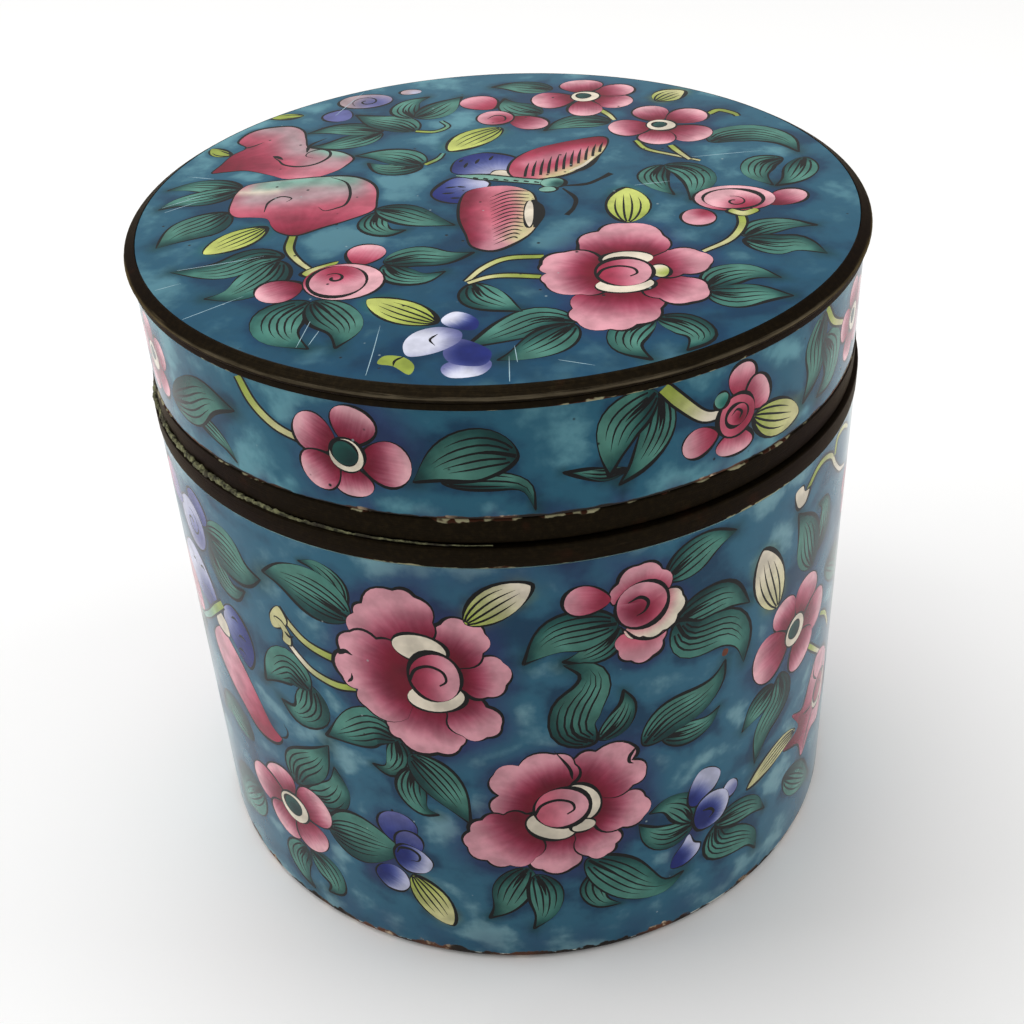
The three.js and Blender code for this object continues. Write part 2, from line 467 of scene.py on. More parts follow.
def blurred_cover(flat, middle, painted):
    """Share of painted area near each flat point: the triangles' painted areas summed in square
    cells at their middles, then blurred by a Gaussian through the Fourier transform."""
    low = flat.min(0) - HALO_MARGIN_MM
    size = np.ceil((flat.max(0) + HALO_MARGIN_MM - low) / HALO_CELL_MM).astype(int)
    place = ((middle - low) / HALO_CELL_MM).astype(int)
    cover = np.zeros(size)
    np.add.at(cover, tuple(place.T), painted / HALO_CELL_MM**2)
    fx, fy = np.fft.fftfreq(size[0])[:, None], np.fft.rfftfreq(size[1])[None]
    blur = np.exp(-2 * (np.pi * HALO_BLUR_MM / HALO_CELL_MM) ** 2 * (fx**2 + fy**2))
    soft = np.fft.irfft2(np.fft.rfft2(cover) * blur, s=size)
    spot = np.clip(((flat - low) / HALO_CELL_MM).astype(int), 0, size - 1)
    return soft[tuple(spot.T)]


def turned_faces(profile):
    """Points and four-sided faces of a profile of (radius, height) turned about Z, from the back
    round by the right side. The profile runs with the solid on its left."""
    p = np.asarray(profile, float)
    a = -np.pi + 2 * np.pi * np.arange(COLUMNS) / COLUMNS
    x = p[:, 0, None] * np.sin(a)
    y = -p[:, 0, None] * np.cos(a)
    points = np.stack([x, y, np.broadcast_to(p[:, 1, None], x.shape)], 2).reshape(-1, 3)
    return points, grid_faces(len(p), COLUMNS)


def grid_faces(rows, columns):
    """Four-sided faces between the points of a grid, row by row. Its columns close into a ring."""
    i, j = np.meshgrid(np.arange(rows - 1), np.arange(columns), indexing="ij")
    k = (j + 1) % columns
    a, b = i * columns, (i + 1) * columns
    return np.stack([a + j, a + k, b + k, b + j], 2).reshape(-1, 4)


def turned_map(profile):
    """For the corners of each face of a turned profile: turns round the axis, and millimetres along
    the profile."""
    run = length_to(profile)
    column = np.tile(np.arange(COLUMNS), len(profile) - 1)
    row = np.repeat(np.arange(len(profile) - 1), COLUMNS)
    turns = np.stack([column, column + 1, column + 1, column], 1) / COLUMNS
    return np.stack([turns, np.stack([run[row], run[row], run[row + 1], run[row + 1]], 1)], 2)


def arc(centre_radius, centre_height, radius, start, end, steps=8):
    """Points of a profile along an arc, from one angle to another, in degrees."""
    a = np.radians(np.linspace(start, end, steps + 1))
    return [(centre_radius + radius * c, centre_height + radius * s) for c, s in zip(np.cos(a), np.sin(a))]


def wall_sheet(painting, radius, low, high):
    """Painted sheet unrolled from a wall: along is the arc length from the front, up the height."""
    half = np.pi * radius
    columns = np.linspace(-half, half, COLUMNS + 1)
    rows = np.linspace(low, high, int(round((high - low) / WALL_ROW_MM)) + 1)
    lines = [np.stack([columns, np.full(COLUMNS + 1, z)], 1) for z in (low, high)]
    lines += [np.stack([np.full(len(rows), s), rows], 1) for s in (-half, -half / 2, 0.0, half / 2, half)]
    edges, count = [], 0
    for line in lines:
        edges.append(count + loop_edges(len(line))[:-1])
        count += len(line)
    gx, gy = np.meshgrid(
        np.arange(-half + PAINT_GRID_MM, half - 1, PAINT_GRID_MM),
        np.linspace(low, high, int(round((high - low) / PAINT_GRID_MM)) + 1)[1:-1],
        indexing="ij",
    )
    gy[::2] += 0.4 * PAINT_GRID_MM * (gy[::2] < high - PAINT_GRID_MM)
    gap = SHEET_EDGE_GAP

    def keep_in(outline):
        return np.clip(outline, (-half + gap, low + gap), (half - gap, high - gap))
    free = np.stack([gx, gy], 2).reshape(-1, 2)
    return painted_sheet(painting, np.vstack(lines), np.vstack(edges), keep_in, free)


def bend_round(flat, radius):
    """Flat wall points carried round the axis: the arc length becomes an angle from the front."""
    a = flat[:, 0] / radius
    return np.stack([radius * np.sin(a), -radius * np.cos(a), flat[:, 1]], 1)


def quarter_strips(sheet, radius, foot, corners, map_side):
    """Bake map of a painted wall, cut into four strips, a quarter turn each. corners are the strips'
    lower left corners on the map. All of them, and the side of the map, are in millimetres."""
    strip_length = np.pi * radius / 2
    place = sheet[0][sheet[1]] + (np.pi * radius, -foot)
    quarter = np.clip((place.mean(1)[:, 0] / strip_length).astype(int), 0, 3)
    shift = np.array(corners, float)[quarter]
    shift[:, 0] -= quarter * strip_length
    return (place + shift[:, None] + 1) / map_side


def wall_normals(p, radius, foot):
    """Straight out from the axis on a painted wall, and none given elsewhere."""
    r = np.hypot(p[:, 0], p[:, 1])
    on_wall = (abs(r - radius) < 0.05) & (p[:, 2] > foot - 0.01)
    return np.where(on_wall[:, None], p * (1, 1, 0) / (r + 1e-9)[:, None], 0)


def close_seams(mesh, gap, hole_sides=0):
    """Joins points that are less than the gap apart, in metres, and fills holes of so many sides."""
    work = bmesh.new()
    work.from_mesh(mesh)
    bmesh.ops.remove_doubles(work, verts=work.verts, dist=gap)
    if hole_sides:
        bmesh.ops.holes_fill(work, edges=work.edges, sides=hole_sides)
        bmesh.ops.recalc_face_normals(work, faces=work.faces)
    work.to_mesh(mesh)
    work.free()


def enamel_mesh(name, parts, exact_normal):
    """One closed mesh of several parts, each (points, faces, root, tip, grain, halo, bake), in
    millimetres. Doubles are merged, and points for which exact_normal gives a direction keep it."""
    start, corner = 0, []
    points, faces, halo, bake = [], [], [], []
    for part_points, part_faces, root, tip, grain, near_paint, bake_map in parts:
        points.append(part_points)
        faces += (part_faces + start).tolist()
        corner.append(np.concatenate([root.reshape(-1, 4), tip.reshape(-1, 4), grain.reshape(-1, 2)], 1))
        halo.append(near_paint)
        bake.append(bake_map.reshape(-1, 2))
        start += len(part_points)
    mesh = bpy.data.meshes.new(name)
    mesh.from_pydata(np.vstack(points) * MM, [], faces)
    corner, halo, bake = np.vstack(corner), np.concatenate(halo), np.vstack(bake)
    mesh.attributes.new("root", "FLOAT_COLOR", "CORNER").data.foreach_set("color", corner[:, :4].ravel())
    mesh.attributes.new("tip", "FLOAT_COLOR", "CORNER").data.foreach_set("color", corner[:, 4:8].ravel())
    mesh.attributes.new("halo", "FLOAT", "POINT").data.foreach_set("value", halo)
    mesh.uv_layers.new(name="brush").data.foreach_set("uv", corner[:, 8:].ravel())
    mesh.uv_layers.new(name="OFBake").data.foreach_set("uv", bake.ravel())
    close_seams(mesh, 1e-6)
    mesh.shade_smooth()
    mesh.set_sharp_from_angle(angle=math.radians(38))
    place = np.zeros(len(mesh.vertices) * 3)
    mesh.vertices.foreach_get("co", place)
    mesh.normals_split_custom_set_from_vertices(exact_normal(place.reshape(-1, 3) / MM))
    return add_object(name, mesh)


def plain_part(profile, colour, corner_map):
    """Turned part in one bare colour. corner_map holds two corners of the bake map that it may use."""
    points, faces = turned_faces(profile)
    root = np.broadcast_to([*np.cbrt(colour), 1.0], (len(faces), 4, 4))
    low, high = np.array(corner_map)
    bake = low + turned_map(profile) / (1, length_to(profile)[-1]) * (high - low)
    return points, faces, root, root, np.zeros((len(faces), 4, 2)), np.zeros(len(points)), bake


def feed(tree, inputs, values):
    """Gives each named input a value, or links it to the socket that the value is."""
    for key, value in values.items():
        if isinstance(value, bpy.types.NodeSocket):
            tree.links.new(value, inputs[key])
        else:
            inputs[key].default_value = value


def add_node(tree, kind, values=None, **settings):
    """A node with its settings. values gives its inputs, each a value or a socket to take it from."""
    node = tree.nodes.new("ShaderNode" + kind)
    for key, value in settings.items():
        setattr(node, key, value)
    feed(tree, node.inputs, values or {})
    return node


def mix_colour(tree, share, first, second):
    values = {0: share, 6: first, 7: second}
    return add_node(tree, "Mix", values, data_type="RGBA", blend_type="MIX", clamp_factor=True).outputs[2]


def sum_up(tree, kind, *values, clamp=False):
    return add_node(tree, "Math", dict(enumerate(values)), operation=kind, use_clamp=clamp).outputs[0]


def times_and(tree, value, factor, more):
    """value times factor, plus more."""
    return sum_up(tree, "MULTIPLY_ADD", value, factor, more)


def ease(tree, value, low, high, start=0.0, end=1.0):
    """Smooth step of a value between low and high."""
    values = {"Value": value, "From Min": low, "From Max": high, "To Min": start, "To Max": end}
    return add_node(tree, "MapRange", values, interpolation_type="SMOOTHSTEP").outputs["Result"]


def noise(tree, place, scale, detail=2.0, **more):
    """Cloudy value about one half. more gives Roughness or Distortion."""
    values = {"Vector": place, "Scale": scale, "Detail": detail, **more}
    return add_node(tree, "TexNoise", values).outputs["Fac"]


def height_of(tree, place):
    return add_node(tree, "SeparateXYZ", {"Vector": place}).outputs["Z"]


def new_material(name):
    """Material with its node tree, the inputs of its Principled shader, and places on the piece."""
    material = bpy.data.materials.new(name)
    material.use_nodes = True
    tree = material.node_tree
    inputs = tree.nodes["Principled BSDF"].inputs
    return material, tree, inputs, add_node(tree, "TexCoord").outputs["Object"]


def add_bump(tree, height, strength, distance):
    values = {"Height": height, "Strength": strength, "Distance": distance}
    return add_node(tree, "Bump", values).outputs["Normal"]


def new_group(name, inputs, outputs):
    tree = bpy.data.node_groups.new(name, "ShaderNodeTree")
    kinds = {"c": "NodeSocketColor", "v": "NodeSocketVector", "f": "NodeSocketFloat"}
    for label, kind in inputs.items():
        tree.interface.new_socket(name=label, in_out="INPUT", socket_type=kinds[kind])
    for label, kind in outputs.items():
        tree.interface.new_socket(name=label, in_out="OUTPUT", socket_type=kinds[kind])
    return tree, tree.nodes.new("NodeGroupInput").outputs, tree.nodes.new("NodeGroupOutput").inputs


def blue_ground_group():
    """Fired blue ground: clouds of pale and deep blue, deeper close to painted figures."""
    inputs = {"Place": "v", "Near Paint": "f", "Deep": "c", "Mid": "c", "Pale": "c"}
    tree, given, out = new_group("blue_ground", inputs, {"Colour": "c"})
    stretch = add_node(tree, "Mapping", {"Vector": given["Place"], "Scale": (1.0, 1.0, 1.4)}).outputs[0]
    clouds = noise(tree, stretch, 84.0, Distortion=0.4)
    washes = noise(tree, stretch, 190.0)
    fine = noise(tree, given["Place"], 1100.0)
    cover = times_and(tree, washes, 0.25, sum_up(tree, "ADD", clouds, 0.05))
    cover = times_and(tree, fine, 0.10, cover)
    cover = times_and(tree, given["Near Paint"], -0.36, cover)
    deep = ease(tree, cover, 0.68, 0.45)
    pale = ease(tree, cover, 0.69, 0.89)
    colour = mix_colour(tree, deep, given["Mid"], given["Deep"])
    feed(tree, out, {"Colour": mix_colour(tree, pale, colour, given["Pale"])})
    return tree


def brush_marks_group():
    """Figures over the ground: each patch goes from its root colour to its tip colour along the
    grain, in streaks, with the enamel pooled a little darker in places."""
    tree, given, out = new_group("brush_marks", {"Ground": "c", "Place": "v"}, {"Colour": "c", "Paint": "f"})
    root = add_node(tree, "Attribute", attribute_name="root")
    tip = add_node(tree, "Attribute", attribute_name="tip")
    brush = add_node(tree, "UVMap", uv_map="brush").outputs[0]
    streak_place = add_node(tree, "Mapping", {"Vector": brush, "Scale": (1.6, 3.5, 1.0)}).outputs[0]
    streaks = noise(tree, streak_place, 1.1, 1.0)
    along = add_node(tree, "SeparateXYZ", {"Vector": brush}).outputs["X"]
    share = times_and(tree, streaks, 0.12, sum_up(tree, "SUBTRACT", along, 0.06))
    share = ease(tree, share, 0.04, 0.80)
    paint = mix_colour(tree, share, root.outputs["Color"], tip.outputs["Color"])
    square = add_node(tree, "VectorMath", {0: paint, 1: paint}, operation="MULTIPLY").outputs[0]
    paint = add_node(tree, "VectorMath", {0: square, 1: paint}, operation="MULTIPLY").outputs[0]
    shade = ease(tree, noise(tree, given["Place"], 330.0, 3.0), 0.28, 0.72, 0.80, 1.22)
    shaded = add_node(tree, "VectorMath", {0: paint, "Scale": shade}, operation="SCALE").outputs[0]
    cover = root.outputs["Alpha"]
    feed(tree, out, {"Colour": mix_colour(tree, cover, given["Ground"], shaded), "Paint": cover})
    return tree


def firing_specks_group():
    """Firing faults: tiny black pits, and pale specks where the enamel is scuffed."""
    inputs = {"Colour": "c", "Place": "v", "Pits": "f", "Specks": "f"}
    tree, given, out = new_group("firing_specks", inputs, {"Colour": "c", "Pit Mask": "f"})
    field = {}
    for label, scale in (("Pits", 420.0), ("Specks", 560.0)):
        cells = add_node(tree, "TexVoronoi", {"Vector": given["Place"], "Scale": scale})
        pick = add_node(tree, "SeparateColor", {"Color": cells.outputs["Color"]}).outputs["Red"]
        chosen = sum_up(tree, "LESS_THAN", pick, given[label])
        dot = ease(tree, cells.outputs["Distance"], 0.13, 0.05)
        field[label] = sum_up(tree, "MULTIPLY", chosen, dot)
    scuffed = sum_up(tree, "MULTIPLY", field["Specks"], 0.55)
    colour = mix_colour(tree, scuffed, given["Colour"], tone(150, 168, 170))
    colour = mix_colour(tree, field["Pits"], colour, tone(12, 14, 18))
    feed(tree, out, {"Colour": colour, "Pit Mask": field["Pits"]})
    return tree


# Inputs and outputs of the two groups that chip an edge
EDGE_SOCKETS = {"Colour": "c", "Place": "v", "Distance": "f", "Reach": "f"}, {"Colour": "c", "Mask": "f"}


def chipped_edge_group():
    """Edge where the enamel has chipped: Distance is how far a point is inside the edge, in metres."""
    tree, given, out = new_group("chipped_edge", *EDGE_SOCKETS)
    ragged = noise(tree, given["Place"], 330.0, 4.0)
    limit = sum_up(tree, "MULTIPLY", given["Reach"], times_and(tree, ragged, 2.4, -0.5))
    bare = ease(tree, sum_up(tree, "SUBTRACT", limit, given["Distance"]), -0.00008, 0.00012)
    kind = ease(tree, noise(tree, given["Place"], 130.0), 0.45, 0.62)
    flecks = ease(tree, ragged, 0.57, 0.63)
    metal = mix_colour(tree, kind, tone(34, 28, 24), tone(92, 56, 38))
    metal = mix_colour(tree, sum_up(tree, "MULTIPLY", flecks, kind), metal, tone(196, 176, 148))
    feed(tree, out, {"Colour": mix_colour(tree, bare, given["Colour"], metal), "Mask": bare})
    return tree


blue_ground = blue_ground_group()
brush_marks = brush_marks_group()
firing_specks = firing_specks_group()
chipped_edge = chipped_edge_group()


def use(tree, group, **values):
    """Outputs of a node group. Each name in values is an input's, with _ for a space."""
    values = {key.replace("_", " "): value for key, value in values.items()}
    return add_node(tree, "Group", values, node_tree=group).outputs


def enamel_material(name, deep, mid, pale, pits, specks, low_edge, low_reach):
    """Glossy enamel. pits and specks are how many of their cells have one, in shares of 1. low_edge is
    the height of its chipped lower edge, and low_reach how far up the chips may go, in metres."""
    material, tree, inputs, place = new_material(name)
    near = add_node(tree, "Attribute", attribute_name="halo").outputs["Fac"]
    ground = use(tree, blue_ground, Place=place, Near_Paint=near, Deep=deep, Mid=mid, Pale=pale)
    figures = use(tree, brush_marks, Ground=ground["Colour"], Place=place)
    specked = use(tree, firing_specks, Colour=figures["Colour"], Place=place, Pits=pits, Specks=specks)
    above = sum_up(tree, "SUBTRACT", height_of(tree, place), low_edge)
    chipped = use(tree, chipped_edge, Colour=specked["Colour"], Place=place, Distance=above, Reach=low_reach)
    smears = ease(tree, noise(tree, place, 90.0, 4.0), 0.35, 0.75, 0.10, 0.24)
    level = times_and(tree, figures["Paint"], 0.10, noise(tree, place, 160.0))
    level = times_and(tree, specked["Pit Mask"], -0.5, level)
    level = times_and(tree, chipped["Mask"], -1.2, level)
    feed(tree, inputs, {
        "Base Color": chipped["Colour"],
        "Roughness": times_and(tree, chipped["Mask"], 0.45, smears),
        "Normal": add_bump(tree, level, 0.35, 0.00012),
        "IOR": 1.42,
        "Specular IOR Level": 0.18,
    })
    return material


jar = Painting(7)
jar.wash([(-12, 72.8), (12, 72.8)], 5.5, INDIGO, 0.45)
jar.wash([(-30, 4), (0, 3), (30, 4)], 5, INDIGO, 0.35)
# Leaves of the front, from the left edge of the view to the right
jar.leaves(
    ([(-46.5, 28), (-50, 30), (-54, 30), (-57, 27)], 3.0),
    ([(-47, 17), (-51, 14), (-55, 10), (-58, 6)], 4.6),
    ([(-48, 63.5), (-46, 59.5), (-43, 58.2), (-40.3, 59.8)], 2.2),
    ([(-48.5, 65.5), (-43.5, 65), (-39.5, 63.2), (-36.3, 63.8)], 4.1),
    ([(-22.8, 64), (-23.5, 68), (-26, 70.2), (-28.6, 70.2)], 1.6),
    ([(-21.8, 63), (-27, 65.4), (-32, 66.3), (-35.5, 65.6)], 4.0),
    ([(-30, 48.5), (-30.5, 44), (-33.5, 41.5), (-36.3, 42.8)], 3.0),
    ([(-30.3, 47.5), (-33.5, 50.3), (-36.8, 48), (-39.2, 44.8)], 3.2),
    ([(-17.5, 43.5), (-17.3, 39.5), (-19.2, 37), (-21.5, 37.5)], 2.0),
    ([(-17, 43.5), (-20.5, 44.8), (-24.5, 42.5), (-28.6, 40)], 3.5),
    ([(-15.5, 38.5), (-16.2, 34), (-14.8, 30.5), (-12.6, 30)], 2.2),
    ([(-15.8, 41), (-12.8, 37.5), (-10.3, 33.5), (-8.2, 28.8)], 3.0),
    ([(-34.5, 25.5), (-30.5, 26.5), (-28, 30), (-28.2, 34)], 2.8),
    ([(-36.5, 26.2), (-35.2, 30), (-31.5, 33.5), (-28.6, 38)], 3.2),
    ([(-37, 12.3), (-39.5, 8.5), (-38.5, 4.8), (-36.8, 3.2)], 2.7),
    ([(-36, 12.3), (-33, 10), (-31.6, 6.5), (-33.5, 4.6)], 2.7),
    ([(-31.2, 20.3), (-26.5, 20.8), (-21.6, 20.9), (-17.8, 21)], 5.0),
    ([(-0.6, 20), (-3, 15.5), (-4.6, 11.5), (-6.6, 9.2)], 2.9),
    ([(0.4, 18.5), (1.6, 14.5), (1.4, 10), (-0.3, 6.8)], 2.5),
    ([(12.5, 62), (10.8, 59.5), (8.3, 58.2), (5.2, 57.8)], 2.0),
    ([(12.4, 62.5), (8.5, 62.5), (4, 61.8), (0.2, 58)], 3.3),
    ([(18.8, 67.3), (22, 69.3), (25.5, 70.8), (29.2, 70.9)], 2.7),
    ([(20.2, 60), (24.5, 61), (28.5, 60.8), (32.3, 57.6)], 2.7),
    ([(20.3, 60), (22.5, 56.3), (28.5, 55.3), (31.4, 52), (31.8, 47.5)], 3.3),
    ([(9.7, 43.2), (12.2, 45.5), (13.5, 48.5), (13, 51.2)], 1.9),
    ([(9.2, 43), (6.4, 45.4), (6.8, 49.4), (8.8, 53), (8.4, 55.8), (5.2, 57.2)], 3.4),
    ([(18.5, 40.6), (22.5, 39.6), (25.8, 40), (27.8, 41.8)], 2.0),
    ([(15.8, 40.2), (19.5, 43.5), (24.5, 45), (27.3, 47), (28.4, 49.8)], 3.1),
    ([(24, 20.8), (20, 20.3), (17.2, 22), (15.2, 25)], 2.4),
    ([(24, 21.5), (22.5, 25), (19.5, 27), (16.8, 26.5)], 2.6),
    ([(28.2, 18), (28.8, 13.8), (33, 11.6), (36, 9.5), (37.2, 6.3)], 3.0),
    ([(28, 18.3), (32, 18), (36, 16.6), (38.8, 13.8)], 2.4),
    ([(9, 17.5), (8.3, 14), (9.6, 10.8), (12.6, 9.4)], 1.8),
    ([(7.6, 20.5), (11.5, 16.5), (15.5, 12.3), (19.5, 10.2), (22.6, 11.6)], 3.6),
    ([(38.8, 38.6), (35, 36.5), (32.4, 34)], 2.3),
    ([(40.2, 39.8), (40.8, 35), (37, 31), (35.6, 25.5)], 2.8),
    ([(48.6, 56.5), (50.6, 59.5), (50, 63.5), (47.6, 64.8)], 2.2),
    ([(47.5, 54.6), (45.8, 58.5), (44.5, 62.5), (41.8, 66.6)], 3.2),
    ([(53, 50.5), (57, 48.5), (61, 45), (63.5, 40.5)], 3.0),
    ([(44, 16), (48, 12.5), (52, 9), (56, 6)], 3.0),
)
# Stems
jar.stem([(-23.5, 55.3), (-26, 55.3), (-29.5, 56.2), (-32, 58.2), (-33.7, 60.6)], 1.1)
jar.stem([(-22.6, 51), (-25.5, 50.5), (-29, 51.3), (-31.2, 53), (-33, 55)], 1.0, CREAM)
jar.shape([(-33.7, 60.7), (-32.4, 59), (-33, 57.4), (-35.2, 56.4), (-35.6, 58.5)], STRAW, STRAW,
          grain_from((-34, 58), 4), 0.3)
jar.shape([(-34.8, 58.4), (-33.4, 58.2), (-32.2, 56.2), (-32.4, 54.4), (-33.8, 54.8), (-33.6, 56.6)], STRAW,
          STRAW, grain_from((-34, 56), 4), 0.25)
jar.ink([(-33.2, 56.6), (-32.4, 56), (-31.6, 56.4)], 0.5)
jar.stem([(43.6, 69.4), (46, 71.3), (48.4, 71.6), (51, 70.5), (53, 68), (56, 65.3), (59.5, 63.8)], 0.8, CREAM)
jar.stem([(52.4, 69.8), (53, 72.2), (56, 72.2), (59, 70.4)], 0.8, STRAW)
jar.shape([(40.6, 70.4), (42.4, 70.9), (43, 69.7), (44.4, 69.4), (43.4, 67.6), (41.4, 67.6)], CREAM, CREAM,
          grain_from((42, 69), 3), 0.4)
jar.stem([(48.6, 39), (51, 36.6), (53.5, 34.2), (56, 32)], 0.8, CREAM)
jar.stem([(53, 41.8), (55.5, 40), (57.4, 37.6), (59, 35)], 0.7)
# Left peony
LEFT_PEONY = (-11.2, 55.5)
for cusps in (
    [(-15.4, 49), (-17.8, 47.8), (-18.4, 45.4), (-16.9, 43.6), (-11.8, 41.9), (-8.5, 43.6), (-8.3, 46.4),
     (-9.6, 49)],
    [(-7.3, 52.6), (-4.7, 51.0), (-3.0, 47.4), (-5.0, 45.4), (-8.3, 45.6), (-10, 49)],
    [(-7.4, 57.6), (-4.9, 59.4), (-2.3, 58.4), (-2.0, 54.6), (-4.6, 52.5), (-7.4, 53.2)],
    [(-10.7, 62.4), (-9.9, 64.6), (-6.7, 65.3), (-4.3, 63.2), (-4.7, 60.0), (-7.4, 57.4)],
    [(-22.0, 60.6), (-21.3, 64.2), (-20.0, 66.2), (-15.5, 69.2), (-12.7, 68.6), (-10.7, 64.6), (-12.2, 61)],
    [(-15.2, 59.5), (-18.5, 60.7), (-22.2, 60.9), (-24.2, 57.2), (-24.4, 52.4), (-22.2, 51), (-21.3, 48),
     (-15.4, 47.6)],
):
    jar.fan(LEFT_PEONY, cusps)
jar.oval((-12.8, 60.1), 3.6, 2.4, CREAM, CREAM, 0.42, -0.15)
jar.oval((-11.2, 51.9), 3.9, 2.5, CREAM, CREAM, 0.42, 0.15)
jar.heart((-11.2, 55.5), 3.5, 4.2, ROSE, BLUSH)
jar.ink([(-24.4, 56.4), (-23.4, 57.2), (-22.3, 56.8)], 0.8)
jar.ink([(-23.6, 51.8), (-22.9, 52.6), (-22.8, 53.6)], 0.45)
jar.bud([(-6.7, 64.7), (-2.5, 68.2), (1.8, 70.6)], 2.6, BUD_GREEN, CREAM)
# Right peony
RIGHT_PEONY = (4.5, 31.4)
for cusps in (
    [(0.2, 27.5), (-0.6, 21.4), (1.2, 19.4), (5.7, 19.2), (6.7, 22), (6.5, 26)],
    [(8.8, 27.5), (12.4, 25), (11.9, 22.4), (10.6, 20.7), (7.8, 21), (6.1, 25)],
    [(9, 32.6), (13.4, 32.4), (16.2, 30.4), (16.1, 26.5), (12.8, 25.4), (8.8, 27)],
    [(5.6, 36.4), (6.4, 40.8), (9.1, 41.3), (14.6, 40.6), (14.3, 38.2), (16.3, 35.2), (14.4, 33.2),
     (9.6, 32.6)],
    [(-1, 30.6), (-5.0, 31.2), (-4.2, 34.6), (-4.6, 38.6), (-1.2, 40.2), (3.6, 41.9), (6.3, 39.6), (6, 36)],
    [(-0.6, 31), (-3.6, 30.9), (-6.7, 29.9), (-8.6, 27.4), (-9, 24), (-6.4, 21.5), (-3.2, 20.6), (0.4, 22),
     (1.4, 26)],
):
    jar.fan(RIGHT_PEONY, cusps)
jar.oval((6.9, 32.1), 2.9, 3.7, CREAM, CREAM, 0.42, 0.25)
jar.oval((2.9, 28.2), 3.7, 2.8, CREAM, CREAM, 0.42, -0.5)
jar.oval((7.2, 27.5), 1.8, 1.2, CREAM, CREAM, 0.4, 0.3)
jar.heart((4.4, 31.5), 3.9, 3.9, PINK, BLUSH)
jar.ink([(14.9, 40.5), (13.9, 39), (13.8, 37.9), (14.4, 37.4)], 0.6)
jar.ink([(5.9, 36.8), (5.5, 39), (3.6, 42.4)], 0.5)
# Rose at the top right
jar.fan((15.4, 62), [(12.6, 60.6), (12.3, 58), (14.0, 55.8), (17.1, 55.6), (18.5, 57.8), (18.2, 60.6)],
        PINK, BLUSH)
jar.fan((15.6, 64.5), [(13, 61), (15.6, 59.4), (18.4, 59.4), (20.7, 61.2), (21.2, 64.2), (19, 66)], PINK,
        CREAM)
jar.ink([(13, 61.5), (14.8, 59.4), (17.5, 58.7), (20.6, 60.4)], 0.5)
jar.fan((15.6, 64.5), [(11.6, 65.6), (12.2, 68.9), (15, 71), (18.2, 69.4), (19.3, 66)], ROSE, BLUSH)
jar.egg([(11.4, 66.6), (5.3, 67.5)], 2.4, ROSE, BLUSH)
middle = jar.oval((15.5, 64.6), 3.7, 3.6, PINK, BLUSH, 0)
jar.wash([(14.4, 64.4), (15.4, 63.4)], 3.6, CRIMSON, 0.9, True)
jar.contour(middle, 0.6)
jar.ink([(13.6, 65.4), (15.2, 65.9), (16.3, 64.9), (15.9, 63.6), (14.7, 63)], 0.55)
# Buds of the front
jar.bud([(38.3, 53.2), (36, 59.5), (34.4, 65.1)], 3.0, STRAW, CREAM)
jar.bud([(-17.6, 16.3), (-14.8, 11.5), (-12.2, 6.6)], 2.6)
jar.bud([(46.5, 24), (42.5, 24.3), (38, 23), (34.2, 21.2)], 1.9, STRAW, STRAW)
# Five-petal flowers of the front
jar.five((-38.2, 20), [([(-39, 22.4), (-42, 26.8)], 3.4), ([(-40.4, 20.8), (-48.4, 20.8)], 3.2),
                       ([(-39.3, 18.2), (-42.6, 13)], 3.3), ([(-37, 18), (-33.4, 13.4)], 3.2),
                       ([(-36.4, 21.2), (-31, 24.4)], 3.4)], 1.9)
jar.five((43.5, 45.7), [([(42, 48.4), (38.8, 53)], 2.5), ([(44.8, 48.2), (48, 53.2)], 3.2),
                        ([(46.2, 45.5), (53.2, 44.6)], 3.2), ([(44.3, 43.2), (47.4, 37.6)], 3.3),
                        ([(41, 45.3), (33.8, 44)], 3.9)], 1.5)
# Blue flowers of the front
jar.wash([(-21.4, 24), (-21, 19), (-22.6, 15)], 4.6, INDIGO, 0.85)
jar.egg([(-18.6, 22), (-19.4, 28.9)], 3.1, COBALT, LILAC, 0.3)
jar.egg([(-18.6, 20), (-16.8, 25.4)], 2.2, COBALT, LILAC, 0.3)
jar.shape([(-23.6, 14.6), (-22.6, 16.8), (-20.4, 17.4), (-18.6, 16.2), (-18.2, 13.8), (-19.6, 12),
           (-22, 12.2)], COBALT, POWDER_BLUE, grain_from((-23.4, 16), 6.5, 0.2), 0.3)
jar.shape([(-20, 21), (-18.4, 22.6), (-15.8, 21.8), (-14.2, 19.6), (-15.4, 17.4), (-18, 16.8), (-19.8, 18.4)],
          COBALT, POWDER_BLUE, grain_from((-20, 20.4), 6.5, 0.2), 0.35)
jar.ink([(-19.6, 20.4), (-19, 21.6), (-17.4, 21.8), (-16.2, 20.8), (-16.4, 19.6), (-17.6, 19.4)], 0.5)
jar.wash([(24.4, 27), (24.6, 21), (22.2, 16)], 4.2, INDIGO, 0.85)
jar.shape([(23, 25.2), (23.2, 28.2), (24.8, 30.9), (27, 30.7), (28.6, 28.8), (27.7, 26.4), (25.8, 25.2),
           (24.4, 24.2)], COBALT, POWDER_BLUE, grain_from((23, 25), 6.5, 0.15), 0.3)
jar.oval((30.6, 24), 1.5, 1.8, LILAC, POWDER_BLUE, 0.28)
jar.shape([(20.4, 13.4), (20.8, 15.6), (22.2, 17.4), (23.4, 19), (24.3, 17), (25.5, 15.9), (24.8, 14.1),
           (22.6, 12.9)], COBALT, POWDER_BLUE, grain_from((20.6, 14.4), 5.6, 0.25), 0.25)
jar.shape([(24, 21.4), (24.8, 24.4), (27, 25.6), (29.6, 24.6), (30.5, 22), (29.4, 19.4), (27, 18.5),
           (24.8, 19)], COBALT, POWDER_BLUE, grain_from((25.8, 21.4), 5.4, 0.25), 0.35)
